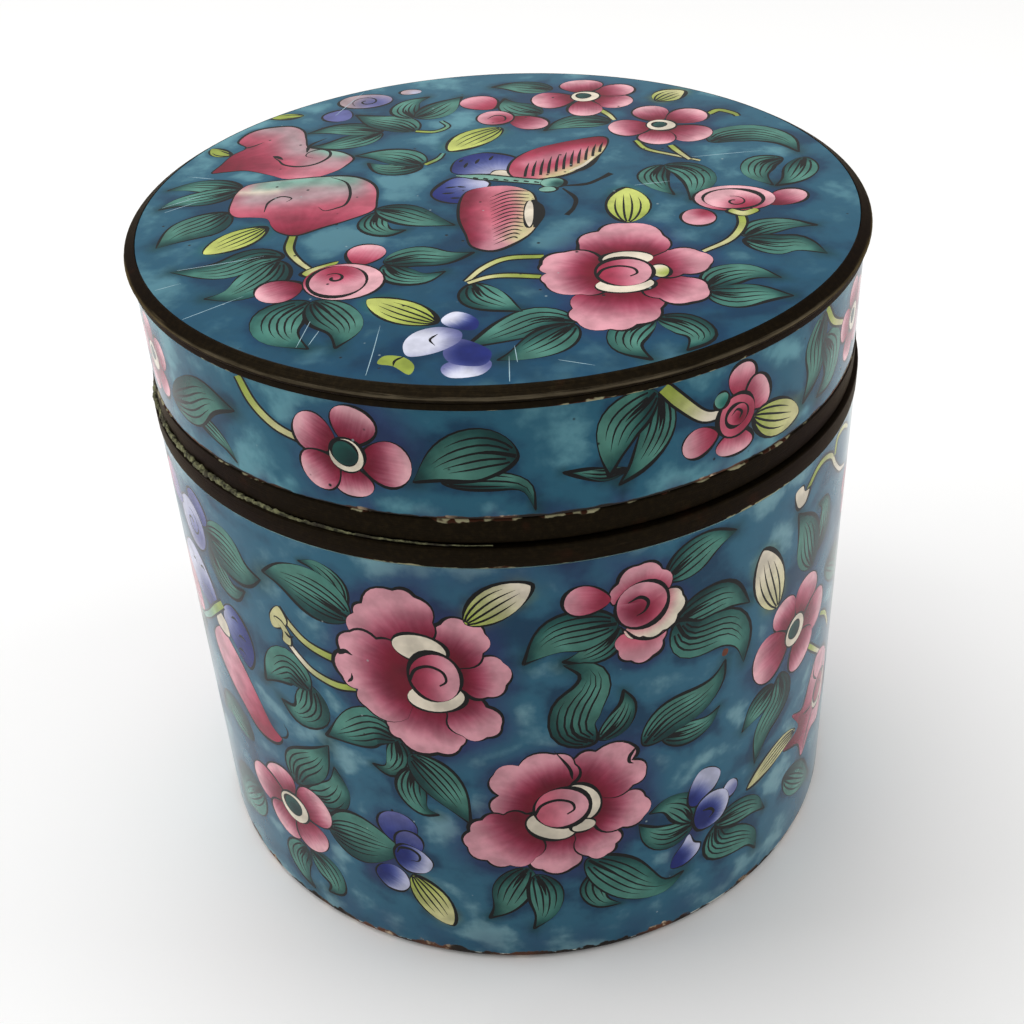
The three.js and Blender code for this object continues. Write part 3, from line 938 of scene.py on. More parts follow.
jar.ink([(25.6, 22.6), (27, 22.2), (27.6, 21.2), (26.8, 20.4)], 0.55)
jar.lay(through([(28.0, 51.8), (28.8, 51.5), (28.6, 50.6), (27.8, 50.8)], 4, True), RUST, RUST,
        grain_from((28, 51), 3))
# Lilac rose and butterfly at the left edge of the view
jar.egg([(-52, 66), (-48.6, 70.4)], 3.0, COBALT, LILAC)
jar.oval((-53, 64.3), 4.2, 4.2, LILAC, POWDER_BLUE)
jar.whorl((-53, 64.3), 2.4, 1.2, 0.4, 0.4)
jar.egg([(-56, 66), (-63, 69)], 3.2, LILAC, BLUSH)
jar.shape([(-50, 50.5), (-49.5, 54), (-52, 57.8), (-56, 59.2), (-60, 57), (-61, 53.5), (-57, 50.5),
           (-53, 49.5)], COBALT, POWDER_BLUE, grain_from((-52, 50), 9))
jar.shape([(-48, 50), (-47.5, 53), (-45, 54.7), (-42.5, 53.5), (-41, 50.5), (-41.2, 47), (-43, 44.5),
           (-45.5, 46.4)], POWDER_BLUE, COBALT, grain_from((-49, 52), 9))
jar.shape([(-50, 47.8), (-47.5, 46.5), (-45, 44), (-42.5, 40), (-40, 35.5), (-38, 34), (-40, 32), (-44, 32),
           (-47.5, 35), (-50.5, 37.4), (-53.5, 41), (-53.7, 44.5)], BLUSH, ROSE,
          grain_along(through([(-53, 40), (-45, 36), (-42, 33)]), 8))
jar.shape([(-51, 49.6), (-49.8, 51), (-47.6, 50), (-47.4, 47.6), (-49, 47), (-51, 47.8)], CREAM, CREAM,
          grain_from((-49, 49), 4), 0.3)
jar.shape([(-59, 43), (-57, 47), (-58.5, 51.5), (-63, 54), (-68, 52), (-70, 46), (-66, 41)], BLUSH, PINK,
          grain_from((-58, 44), 12))
jar.stem([(-47.8, 53.2), (-51, 50.3), (-54.5, 47), (-58.5, 44)], 1.2, CELADON)
for x, z in ((-44.8, 52.2), (-43.6, 49.6), (-44.4, 46.8), (-53, 56.2), (-56.4, 55.6)):
    jar.ink([(x - 0.8, z), (x + 0.1, z + 0.4), (x + 1, z)], 0.45)
for k in range(6):
    jar.ink([(-60.4 - 0.2 * k, 43.6 + 1.5 * k), (-64, 43.8 + 1.6 * k), (-67.4 + 0.2 * k, 43.4 + 1.55 * k)],
            0.42, 0.9, 0.1)
jar.oval((-59.2, 43.2), 1.5, 1.4, LEAF_DEEP, CELADON, 0.4)
jar.ink([(-60.2, 42.2), (-63, 39.2), (-66.4, 38.4)], 0.6, 0.4, 1.0)
jar.ink([(-59.4, 41.9), (-60.2, 38), (-59.2, 34.8)], 0.6, 0.4, 1.0)
jar.ink([(-38.4, 34.2), (-37, 35), (-36.4, 36.4), (-37, 37.6)], 0.4)
# Pink flower at the right edge of the view
jar.shape([(45, 28), (48.6, 26.6), (50.5, 30), (53, 33.4), (57, 32.5), (60.5, 28.5), (61, 22.5), (58, 17),
           (53.5, 18), (50, 15.4), (48, 19.6), (43, 22.4), (47.6, 23.6)], CRIMSON, BLUSH,
          grain_from((46, 23), 14))
for path in ([(49, 25), (51.5, 24), (53.4, 24.2)], [(54.6, 27.6), (52.6, 30), (52.8, 33)],
             [(57.8, 27), (59.6, 28), (60.4, 28.6)], [(54, 22.2), (52, 20), (50.2, 15.8)],
             [(57.6, 22), (58.4, 20), (58, 17.2)]):
    jar.ink(path, 0.45)
jar.oval((56.6, 24.2), 3.4, 3.2, CREAM, CREAM, 0.4)
jar.heart((56.2, 24.9), 2.6, 2.7, ROSE, PINK)
jar.open_five((65.6, 58.6), 6.2, 0.35)
# Sides and back, in the same flowers laid out evenly and plainer
for side in (-1, 1):
    jar.leaves(
        ([(72, 45), (66, 41), (64, 35), (65, 30)], 3.2),
        ([(76, 57), (73, 64), (68, 68), (64, 69.5)], 3.0),
        ([(88, 60), (93, 65), (99, 67), (104, 65)], 3.4),
        ([(74, 34), (72, 26), (66, 21), (62, 21)], 3.2),
        ([(96, 47), (103, 49), (107, 45), (109, 40)], 3.2),
        ([(84, 12), (77, 9), (72, 9), (67, 12)], 2.8),
        ([(98, 12), (104, 8), (110, 8), (115, 11)], 2.8),
        ([(124, 33), (133, 36), (138, 33), (140, 28)], 3.2),
        ([(112, 28), (106, 32), (103, 37)], 2.6),
        ([(122, 15), (128, 10), (134, 8), (139, 10)], 2.9),
        ([(120, 64), (115, 60), (113, 55), (115, 50)], 2.8),
        ([(138, 61), (145, 64), (150, 62), (153, 58)], 3.0),
        ([(142, 45), (149, 42), (152, 36)], 2.8),
        ([(146, 22), (151, 17), (152, 11)], 2.6),
        side=side,
    )
    jar.stem(on_side(side, [(96, 55), (102, 57), (107, 61), (110, 66)]), 1.0)
    jar.stem(on_side(side, [(118, 33), (120, 38), (124, 42), (128, 46)]), 0.9)
    jar.bud(on_side(side, [(109, 65), (112, 69), (114, 71.5)]), 1.7)
    jar.bud(on_side(side, [(78, 24), (76, 17), (73, 13)]), 2.4)
    jar.open_peony((side * 84, 50), 12.5, 0.4 * side)
    jar.open_five((side * 91, 19), 9.6, 0.9)
    jar.open_peony((side * 117, 23), 9.6, 1.1 * side, CRIMSON, BLUSH)
    jar.open_five((side * 129, 55), 9.4, 0.2)
    jar.open_five((side * 144, 30), 5.8, 0.5 * side, COBALT, POWDER_BLUE)

wall = wall_sheet(jar, JAR_RADIUS, BASE_EDGE_ROUND, JAR_WALL_TOP)
JAR_MAP_SIDE = 180
jar_strips = [(0, 0), (80, 0), (0, 76), (80, 76)]
wall_map = quarter_strips(wall, JAR_RADIUS, 0, jar_strips, JAR_MAP_SIDE)
bare_map = ((0.90, 0.01), (0.99, 0.99))
# Turned parts of the mesh. A few of their points lie on a straight line, and only divide long faces
slope_inner, slope_foot = FOOT_SLOPE
outside_low = [(0, FOOT_RECESS), (slope_inner - 8, FOOT_RECESS), (slope_inner, FOOT_RECESS), (slope_foot, 0)]
outside_low += arc(JAR_RADIUS - BASE_EDGE_ROUND, BASE_EDGE_ROUND, BASE_EDGE_ROUND, -90, 0)
inner = [(JAR_RADIUS, JAR_WALL_TOP), (JAR_BORE, JAR_WALL_TOP), (JAR_BORE, 40)]
inner += arc(JAR_BORE - INSIDE_CORNER_ROUND, JAR_FLOOR_TOP + INSIDE_CORNER_ROUND, INSIDE_CORNER_ROUND, 0, -90)
inner += [(24, JAR_FLOOR_TOP), (0, JAR_FLOOR_TOP)]
painted_jar = enamel_mesh("painted_jar", [
    (bend_round(wall[0], JAR_RADIUS), *wall[1:], wall_map),
    plain_part(outside_low, BARE_UNDER, bare_map),
    plain_part(inner, BARE_INSIDE, bare_map),
], lambda p: wall_normals(p, JAR_RADIUS, BASE_EDGE_ROUND))
painted_jar.data.materials.append(enamel_material(
    "jar_enamel", tone(18, 56, 82), tone(42, 92, 115), tone(106, 146, 156), 0.02, 0.03, 0, 0.0021))
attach(painted_jar, "root")
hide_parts("jar_body")


# Mouth band: a flat brass band soldered round the top of the wall, in one piece with the collar
# that stands up inside the lid. It is brown-black with age, and the edge of the enamel beside it is
# ragged, with cream and rust chips.
BAND_PROUND_RADIUS = 50.15
MOUTH_BAND = (73.4, 76.4)
BAND_ROUND = 0.25
CHIP_REACH = 0.00034  # how far chips of enamel lie from a joint, in metres
COLLAR = (46.15, 47.25, 48.1, 69.3, 83.9)  # inner, outer and skirt radius, foot and top height


def patina_group():
    """Old brass: a brown-black skin with lighter, worn metal showing where the wear input is high, and
    scratches that run round the piece. On the ring's bead that input also carries a painted highlight. Place
    Round holds millimetres along and across the band."""
    outputs = {"Colour": "c", "Shine": "f", "Height": "f"}
    tree, given, out = new_group("patina", {"Place": "v", "Round": "v", "Rubbed": "f"}, outputs)
    long_way = add_node(tree, "Mapping", {"Vector": given["Round"], "Scale": (0.12, 4.0, 1.0)}).outputs[0]
    lines = noise(tree, long_way, 1.0, 5.0, Roughness=0.7)
    cloud = noise(tree, given["Place"], 150.0, 4.0)
    dust = noise(tree, given["Place"], 1500.0, 3.0)
    shine = ease(tree, times_and(tree, lines, 0.9, times_and(tree, cloud, 0.5, given["Rubbed"])), 0.86, 1.40)
    skin = mix_colour(tree, ease(tree, dust, 0.40, 0.80, 0.0, 0.5), tone(20, 15, 8), tone(38, 30, 17))
    skin = mix_colour(tree, ease(tree, cloud, 0.62, 0.74, 0.0, 0.5), skin, tone(48, 26, 16))
    colour = mix_colour(tree, shine, skin, tone(108, 98, 80))
    feed(tree, out, {"Colour": colour, "Shine": shine, "Height": times_and(tree, dust, 0.25, lines)})
    return tree


def joint_chips_group():
    """Cream and rust chips of enamel along a joint. Distance is how far a point is from it."""
    tree, given, out = new_group("joint_chips", *EDGE_SOCKETS)
    ragged = noise(tree, given["Place"], 260.0, 4.0)
    part = noise(tree, given["Place"], 60.0)
    amount = times_and(tree, part, 5.0, times_and(tree, ragged, 5.0, -4.85))
    limit = sum_up(tree, "MULTIPLY", given["Reach"], amount)
    mask = ease(tree, sum_up(tree, "SUBTRACT", limit, given["Distance"]), -0.00004, 0.00010)
    kind = ease(tree, noise(tree, given["Place"], 700.0, 1.0), 0.49, 0.57)
    chips = mix_colour(tree, kind, tone(150, 146, 116), tone(54, 28, 18))
    feed(tree, out, {"Colour": mix_colour(tree, mask, given["Colour"], chips), "Mask": mask})
    return tree


patina = patina_group()
joint_chips = joint_chips_group()


def brass_material(name, joint, up, rub_and_highlight, bead=None):
    """joint is the height of the enamel joint and up its side, 1 where the metal is above it. bead is
    the height of a painted highlight, a lighter line along the bead that also stands for wear, and how far it
    reaches, in metres."""
    material, tree, inputs, place = new_material(name)
    around = add_node(tree, "UVMap", uv_map="around").outputs[0]
    height = height_of(tree, place)
    # Painted highlight along the bead: a lighter band at the bead's height, which also stands for wear.
    if bead:
        away = sum_up(tree, "ABSOLUTE", sum_up(tree, "SUBTRACT", height, bead[0]))
        rub_and_highlight = times_and(tree, ease(tree, away, bead[1], 0.0), 0.5, rub_and_highlight)
    skin = use(tree, patina, Place=place, Round=around, Rubbed=rub_and_highlight)
    beside = sum_up(tree, "MULTIPLY", sum_up(tree, "SUBTRACT", height, joint), up)
    chips = use(tree, joint_chips, Colour=skin["Colour"], Place=place, Distance=beside, Reach=CHIP_REACH)
    rough = ease(tree, skin["Shine"], 0.0, 1.0, 0.46, 0.32)
    bare_metal = times_and(tree, skin["Shine"], 0.25, 0.72)
    level = times_and(tree, chips["Mask"], 0.8, skin["Height"])
    feed(tree, inputs, {
        "Base Color": chips["Colour"],
        "Roughness": times_and(tree, chips["Mask"], 0.3, rough),
        "Metallic": sum_up(tree, "MULTIPLY_ADD", chips["Mask"], -0.6, bare_metal, clamp=True),
        "Normal": add_bump(tree, level, 0.5, 0.00010),
        "Specular IOR Level": 0.2,
        "Specular Tint": (0.50, 0.43, 0.31, 1),
    })
    return material


def turned_piece(name, profile, sharp=30):
    """Closed turned mesh with a map named around: millimetres round the axis and along the profile."""
    points, faces = turned_faces(profile)
    mesh = bpy.data.meshes.new(name)
    mesh.from_pydata(points * MM, [], faces.tolist())
    around = turned_map(profile) * (2 * np.pi * JAR_RADIUS, 1)
    mesh.uv_layers.new(name="around").data.foreach_set("uv", around.ravel())
    close_seams(mesh, 1e-6)
    mesh.shade_smooth()
    mesh.set_sharp_from_angle(angle=math.radians(sharp))
    return add_object(name, mesh)


def rounded_side(edge, low, high, size):
    """Upright outer side of a band from low to high, its two corners rounded."""
    inner = edge - size
    return arc(inner, low + size, size, -90, 0, 4) + arc(inner, high - size, size, 0, 90, 4)


low, high = MOUTH_BAND
collar_inner, collar_outer, skirt_outer, skirt_foot, collar_top = COLLAR
mouth_profile = [(collar_inner, skirt_foot), (skirt_outer, skirt_foot), (skirt_outer, low)]
mouth_profile += rounded_side(BAND_PROUND_RADIUS, low, high, BAND_ROUND)
mouth_profile += [(collar_outer, high), (collar_outer, collar_top - 0.5)]
mouth_profile += [(collar_outer - 0.12, collar_top - 0.15), (collar_outer - 0.5, collar_top)]
mouth_profile += [(collar_inner, collar_top), (collar_inner, skirt_foot)]
mouth_band = turned_piece("mouth_band_brass", mouth_profile)
mouth_band.data.materials.append(brass_material("mouth_brass", low * MM, 1.0, 0.02))
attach(mouth_band, "root")
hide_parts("mouth_band")


# Crust: grey-green corrosion that has grown on the ledge between the lid and the mouth band, thick on
# the left, and thinning out towards the front. It holds the lid up by a third of a millimetre.
CRUST_FROM, CRUST_TO = -128.0, -3.0  # degrees round from the front, less than 0 on the left
CRUST_RADIUS, CRUST_HEIGHT = 49.66, 76.55
CRUST_THICK = 0.92
CRUST_HALF_WIDE, CRUST_HALF_HIGH = 0.52, 0.9  # shares of its thickness
CRUST_ROWS, CRUST_SIDES = 1500, 12


def crust_mesh():
    """Lumpy roll along the ledge. Its section is a ring, whose radius is a sum of sine waves of the
    angle round the axis and round the section, and falls to nothing at both ends."""
    chance = np.random.default_rng(5)
    around = np.radians(np.linspace(CRUST_FROM, CRUST_TO, CRUST_ROWS))[:, None]
    section = np.linspace(0, 2 * np.pi, CRUST_SIDES, endpoint=False)[None]
    lumps = np.zeros((CRUST_ROWS, CRUST_SIDES))
    for k in range(60):
        wave = chance.uniform(8, 520)
        swing = np.sin(around * wave + section * chance.integers(-2, 3) + chance.uniform(0, 6.28))
        lumps += swing * chance.uniform(0.3, 1) * 50 / (50 + wave) / 2.2
    marks = [CRUST_FROM, CRUST_FROM + 12, -54, -40, CRUST_TO]
    ends = np.interp(np.degrees(around), marks, [0, 1, 1, 0.5, 0.12])
    size = np.clip(0.74 + 0.5 * lumps, 0.15, 1.35) * ends * CRUST_THICK
    r = CRUST_RADIUS + CRUST_HALF_WIDE * size * np.cos(section)
    z = CRUST_HEIGHT + CRUST_HALF_HIGH * size * np.sin(section)
    points = np.stack([r * np.sin(around), -r * np.cos(around), z], 2).reshape(-1, 3)
    mesh = bpy.data.meshes.new("ledge_crust")
    mesh.from_pydata(points * MM, [], grid_faces(CRUST_ROWS, CRUST_SIDES).tolist())
    close_seams(mesh, 1e-7, CRUST_SIDES)
    mesh.shade_smooth()
    return mesh


def crust_material():
    """Dull olive grey to brown, crumbly."""
    material, tree, inputs, place = new_material("verdigris_crust")
    crumbs = noise(tree, place, 1300.0, 6.0, Roughness=0.7)
    drift = noise(tree, place, 260.0, 3.0)
    colour = mix_colour(tree, ease(tree, crumbs, 0.36, 0.62), tone(38, 38, 24), tone(124, 124, 88))
    feed(tree, inputs, {
        "Base Color": mix_colour(tree, ease(tree, drift, 0.50, 0.62, 0.0, 0.8), colour, tone(36, 28, 20)),
        "Roughness": ease(tree, crumbs, 0.0, 1.0, 0.95, 0.75),
        "Normal": add_bump(tree, crumbs, 1.0, 0.0003),
    })
    return material


ledge_crust = add_object("ledge_crust", crust_mesh())
ledge_crust.data.materials.append(crust_material())
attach(ledge_crust, "root")


# Foot band of the lid: a flat brass band under the lid's enamelled wall, of the same make as the
# mouth band and as dark. The enamel above it is ragged along the joint.
LID_BAND = (76.7, 80.2)
LID_BORE, LID_RADIUS = 47.6, 49.4
LID_BAND_RADIUS = 49.55
low, high = LID_BAND
foot_profile = [(LID_BORE, low), *rounded_side(LID_BAND_RADIUS, low, high, BAND_ROUND)]
foot_profile += [(LID_BORE, high), (LID_BORE, low)]
lid_foot = turned_piece("lid_foot_brass", foot_profile)
lid_foot.data.materials.append(brass_material("lid_foot_brass", high * MM, -1.0, 0.0))
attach(lid_foot, "root")
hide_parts("lid_foot_band")


# Lid: a shallow cap raised from copper sheet and enamelled like the jar. Its wall has flowers in a
# row, and its top two peaches, a butterfly and flowers. The top is scuffed and scratched.
LID_WALL = (80.3, 95.15)
LID_TOP_RADIUS = 48.525
LID_TOP_EDGE, LID_CROWN = 97.85, 0.5
LID_CEILING = 95.95

lid_wall = Painting(11)
lid_wall.wash([(-40, 80.2), (-10, 80.2), (20, 80.2), (45, 80.2)], 2.6, INDIGO, 0.75)
lid_wall.wash([(-15, 95), (-12, 90)], 4.5, INDIGO, 0.6)
lid_wall.leaves(
    ([(-45, 85.4), (-41.5, 84.6), (-38.5, 83.2), (-36.8, 81.4)], 1.2),
    ([(-51, 84.6), (-46, 86.4), (-41, 89.2), (-35.6, 89.4)], 3.3),
    ([(-8, 85.4), (-2, 85.6), (1.6, 84.6), (2.6, 81.2)], 1.3),
    ([(0.9, 88.8), (-3, 89.4), (-7.5, 88), (-11.4, 85.2)], 3.5),
    ([(13.6, 85), (11, 84.8), (8.6, 85.4), (6, 86)], 0.9),
    ([(17.7, 94.4), (17.4, 89.5), (15.2, 85.5), (12.6, 83)], 2.2),
    ([(17.2, 94.6), (13, 91.5), (11.8, 88), (11.4, 84.4)], 2.8),
    ([(45, 94.5), (43.4, 91), (43.4, 87), (41, 83.6)], 2.5),
    ([(45.6, 90.6), (48.4, 87.6), (47.8, 84.2), (44.6, 82.6)], 2.7),
)
lid_wall.stem([(-33.8, 94.9), (-32, 91.8), (-29, 89.6), (-25.4, 88.6)], 1.2)
lid_wall.stem([(18, 94.8), (20.5, 92), (23.6, 89.2), (26.6, 88.7)], 1.5, CREAM)
lid_wall.stem([(45.6, 94.8), (48, 91.8), (52.6, 89.4)], 0.9)
lid_wall.five((-19.3, 87.8), [([(-21.4, 89.2), (-26, 91.2)], 2.6), ([(-18.7, 90.2), (-17.4, 94.6)], 2.6),
                              ([(-19, 85.4), (-18.6, 82)], 2.3), ([(-17, 87.5), (-11.4, 87)], 2.9),
                              ([(-21.5, 86.2), (-25.2, 83.6)], 2.6)], 1.75, ring=0.6)
lid_wall.egg([(28.4, 90), (29.6, 94.6)], 2.2, ROSE, SHELL_PINK)
lid_wall.egg([(29.6, 88.4), (33.6, 90.4)], 2.7, ROSE, SHELL_PINK)
lid_wall.egg([(25.8, 86.2), (20.6, 85.4)], 2.1, ROSE, SHELL_PINK)
lid_wall.egg([(28.6, 85.8), (28.2, 82)], 3.0, ROSE, SHELL_PINK)
lid_wall.oval((28.4, 87.6), 3.0, 2.9, ROSE, PINK, 0.5)
lid_wall.oval((28.5, 87.6), 1.7, 1.6, CRIMSON, PINK, 0.45)
lid_wall.ink([(28.9, 87), (29.2, 87.8), (28.4, 88.4), (27.6, 87.8)], 0.4)
lid_wall.oval((26, 90.5), 1.1, 1.2, LEAF_MID, LEAF_PALE)
lid_wall.bud([(31.2, 86.3), (35.5, 84.2), (40.2, 82.6)], 2.6)
for side in (-1, 1):
    lid_wall.leaves(
        ([(68, 84), (74, 83), (79, 86), (82, 91)], 2.6),
        ([(90, 93), (86, 90), (84, 87), (85, 83)], 2.4),
        ([(104, 85), (110, 84), (115, 87), (118, 92)], 2.8),
        ([(133, 92), (128, 90), (125, 87), (124, 83)], 2.4),
        ([(140, 84), (145, 83), (149, 86), (151, 91)], 2.4),
        side=side,
    )
    lid_wall.stem(on_side(side, [(62, 90), (68, 92), (74, 90)]), 0.9)
    lid_wall.stem(on_side(side, [(104, 90), (109, 92.5), (114, 91)]), 0.9)
    lid_wall.open_five((side * 57, 88), 6.0, 0.5)
    lid_wall.open_five((side * 97, 87.8), 6.2, 0.1)
    lid_wall.open_five((side * 136.5, 87.8), 5.6, 0.7, COBALT, POWDER_BLUE)
    lid_wall.bud(on_side(side, [(74, 90), (78, 88), (80, 84)]), 1.8)

lid_top = Painting(23)
# Painted shade and sheen: a deep blue wash, strongest at the front and fading out towards the back, darkens the
# top under the light from above and leaves the back lighter, as if a sheen lay on it.
lid_top.wash([(0, -60)], 112, pigment(0, 44, 74), 0.68)
lid_top.leaves(
    ([(-36.5, 0), (-39, -3.2), (-42, -5.5), (-44.8, -9.5)], 3.5),
    ([(-35.6, 8), (-39.5, 9.3), (-43, 9.8), (-46.2, 9)], 2.2),
    ([(-35.8, 7.4), (-40, 5.6), (-44, 4.5), (-46.4, 2.6)], 2.4),
    ([(-16.5, 25.4), (-20, 23), (-24, 21.5), (-27, 21.5)], 2.5),
    ([(-16.5, 25.8), (-20, 27.4), (-24, 28), (-27.8, 27)], 2.3),
    ([(-11.4, 25.2), (-14, 28.5), (-17.5, 30.5), (-20.8, 33.5)], 3.0),
    ([(-11.8, 30.8), (-13.3, 34), (-12.3, 37.5), (-9.6, 39.6)], 2.2),
    ([(-11.6, 30.8), (-9, 32.5), (-6.5, 36), (-4.4, 38.8)], 2.8),
    ([(-10.2, 12), (-13, 11.2), (-15.8, 11.6), (-18, 14)], 2.1),
    ([(-10, 12.2), (-13, 15.3), (-16.5, 16.8), (-20, 17)], 2.8),
    ([(17.8, 24.6), (13.5, 25.6), (10.5, 24.6), (7.8, 22.6)], 2.6),
    ([(9.8, 39.8), (6, 41.5), (3, 42.4), (0.4, 42.4)], 2.6),
    ([(7.8, 29.6), (4.8, 31.5), (2.8, 34), (2.2, 36.8)], 2.8),
    ([(31.2, 15.2), (34, 17.4), (38.4, 17.8), (42, 14.8), (43.2, 10.2)], 3.1),
    ([(23.5, 7.6), (21.8, 4), (22.4, 0.5), (24, -2.5)], 2.1),
    ([(23.8, 7.5), (27, 5.5), (28, 1.5), (26, -4.4)], 2.6),
    ([(40.5, 8.4), (37.3, 7), (36, 3), (37.6, -0.8)], 2.3),
    ([(43.8, 8.3), (42.5, 4.5), (40.5, 1), (38, -1)], 2.3),
    ([(-28, -15.6), (-29.5, -20), (-33, -24), (-36.4, -24.6)], 3.2),
    ([(-27.6, -14.6), (-31, -14.2), (-35.5, -17.3), (-41.8, -16.8)], 2.8),
    ([(-16, -3), (-16.4, -7), (-14.4, -9.4), (-12, -9)], 2.0),
    ([(-16.2, -2), (-13, -3.6), (-9.5, -6.2), (-5.6, -8.4)], 2.8),
    ([(-14.4, -18.6), (-12.6, -21.6), (-9.5, -22.8), (-6.8, -21.4)], 2.1),
    ([(-14.6, -18), (-10.5, -16.8), (-6.5, -17.6), (-3.2, -16.6)], 2.7),
    ([(-23.4, -27), (-26.6, -30.5), (-26.2, -35), (-22.6, -38.4)], 3.3),
    ([(-22.8, -27), (-20.6, -30.5), (-18.6, -34.5), (-19.4, -38.6)], 3.1),
    ([(8.6, -35.6), (4.5, -34.6), (0.5, -37), (-4.6, -40.4)], 2.9),
    ([(8.4, -36.4), (5, -40), (1.6, -42.4), (-0.8, -43.4)], 2.8),
    ([(-3.4, -25), (-2.4, -28.5), (0.4, -31), (2.4, -32.6)], 2.7),
    ([(24.6, -29), (27, -26.4), (30.5, -25.6), (34, -27.4)], 2.5),
    ([(24.6, -30), (27.5, -31.4), (31, -31.2), (34.6, -32)], 2.8),
    ([(17.6, -35.8), (14.6, -38.5), (14, -42), (16.4, -45)], 2.4),
    ([(18, -35.8), (21, -37.5), (22.6, -40.5), (20.6, -43.4)], 2.3),
    ([(31.2, -16), (34, -13.6), (37.5, -12.8), (41, -13.6)], 2.1),
    ([(31.2, -16.8), (35, -18.6), (38, -18.6), (40.8, -21.6)], 2.7),
)
lid_top.stem([(-11.4, 25.2), (-8.5, 24.6), (-6.6, 26.4), (-7.6, 28.8)], 0.6, LEAF_PALE)
lid_top.stem([(-9.8, 12.2), (-8, 14), (-7.2, 16)], 0.6, LEAF_PALE)
lid_top.stem([(16.2, 30.6), (17.6, 28), (18.4, 25.4)], 0.8)
lid_top.stem([(20.8, 17), (22, 13.6), (25.5, 11), (29, 8.6)], 0.6)
lid_top.stem([(25.5, 14.6), (26.4, 12), (27.6, 9.2)], 0.8)
lid_top.stem([(-26.9, -8.6), (-27, -12.5), (-25.6, -16), (-23.6, -19)], 0.9)
lid_top.stem([(5.6, -18.8), (1, -18.8), (-2, -21), (-4.2, -24.4)], 0.9)
lid_top.stem([(5, -24.2), (1, -23.4), (-1.6, -23.6), (-4, -24.8)], 0.9)
lid_top.stem([(31.9, -8.8), (31.6, -12.5), (29.4, -16.6), (25.6, -19.6)], 0.9)
# Peaches: crimson at the tip, pink cheeks, and a grey and celadon wash over the upper side
peach = lid_top.shape([(-40.6, 14.2), (-39.6, 17), (-38.4, 20.4), (-36.6, 22.9), (-38.1, 25.4),
                       (-36.9, 28.8), (-34.4, 30.5), (-30.6, 30.6), (-28.5, 28.4), (-27.8, 25),
                       (-27.2, 21.6), (-25, 20.4), (-22, 18.8), (-20.2, 16.2), (-21.2, 13.6), (-22.6, 11.8),
                       (-25.6, 10), (-29.4, 10.2), (-32, 12), (-35.6, 14.2), (-38.8, 14.2)], CRIMSON, PINK,
                      grain_from((-42, 16), 20), 0)
lid_top.wash([(-34, 30.4), (-30.6, 28.6), (-29.2, 24), (-28.4, 20.6)], 5, MAUVE_GREY, 0.95, True)
lid_top.wash([(-26, 15.6), (-22.4, 14.4)], 4, MAUVE_GREY, 0.8, True)
lid_top.wash([(-25, 19.8), (-22, 18)], 3.2, CELADON, 0.95, True)
lid_top.wash([(-27, 11)], 4.5, BLUSH, 0.6, True)
lid_top.contour(peach, 0.36)
lid_top.ink([(-32, 18.4), (-31.2, 17.2), (-30.2, 15.4), (-28, 14.4), (-25.6, 15), (-23.9, 17.2),
             (-23.9, 19.3), (-25.3, 20.4), (-26.9, 19.6), (-27.3, 18.2), (-26.2, 17.3)], 0.5)
lid_top.ink([(-32.2, 19), (-31.3, 18.3), (-30.6, 17.4)], 0.8)
lid_top.ink([(-27.3, 19.6), (-26.9, 22.4), (-24.6, 24.8)], 0.6)
lid_top.ink([(-37, 22.8), (-35.6, 23.4), (-34.1, 24.8)], 0.4)
peach = lid_top.shape([(-36.4, 4), (-36, 6.6), (-34.6, 9), (-31, 9.8), (-25, 10.2), (-20.8, 9.9),
                       (-18, 8.1), (-16.4, 5), (-16.2, 0.6), (-16.6, -2.4), (-20, -5), (-23.1, -6.7),
                       (-26.4, -8.6), (-28.8, -7.4), (-30, -5.4), (-30.9, -2.8), (-33, -2), (-35.2, -1.6),
                       (-36.4, 0.4)], CRIMSON, PINK, grain_from((-26.5, -12), 20), 0)
lid_top.wash([(-33.6, 3.8), (-27, 3.8), (-19.6, 4.8)], 4.6, MAUVE_GREY, 0.95, True)
lid_top.wash([(-32, 8.2), (-26, 9), (-20.4, 8.6)], 4.6, CELADON, 1.0, True)
lid_top.wash([(-35.2, 6.6), (-31, 6)], 2, CREAM, 0.9, True)
lid_top.contour(peach, 0.36)
lid_top.ink([(-31.5, -0.6), (-31.2, 2.5), (-29.7, 4.2), (-28.1, 3.4), (-28.8, 2.2)], 0.4)
lid_top.ink([(-23.1, 9.8), (-20.8, 7.6), (-20, 3.8), (-20.4, 0.4), (-21.6, -0.8), (-23.2, -1.4),
             (-24.2, 0)], 0.45)
lid_top.bud([(-30.7, -5.4), (-34, -8.5), (-38.2, -12.2)], 2.6, tip=LIME)
lid_top.bud([(-29, 34.8), (-31.6, 34.8), (-34.2, 34.6)], 1.2, BUD_GREEN, BUD_GREEN, 2)
lid_top.bud([(-38.6, 20.4), (-40.4, 21.6), (-41.8, 23.6)], 1.3, BUD_GREEN, BUD_GREEN, 2)
lid_top.bud([(25.4, 32.6), (28, 35.2), (30.4, 36.4)], 2.4, BUD_GREEN, STRAW)
lid_top.stem([(32.6, 26.2), (34.4, 27.6), (36.4, 26), (36.8, 24.8)], 0.9, BUD_GREEN)
lid_top.bud([(1.4, 24.6), (-3, 20.8), (-6.4, 16.6)], 2.9, tip=LIME)
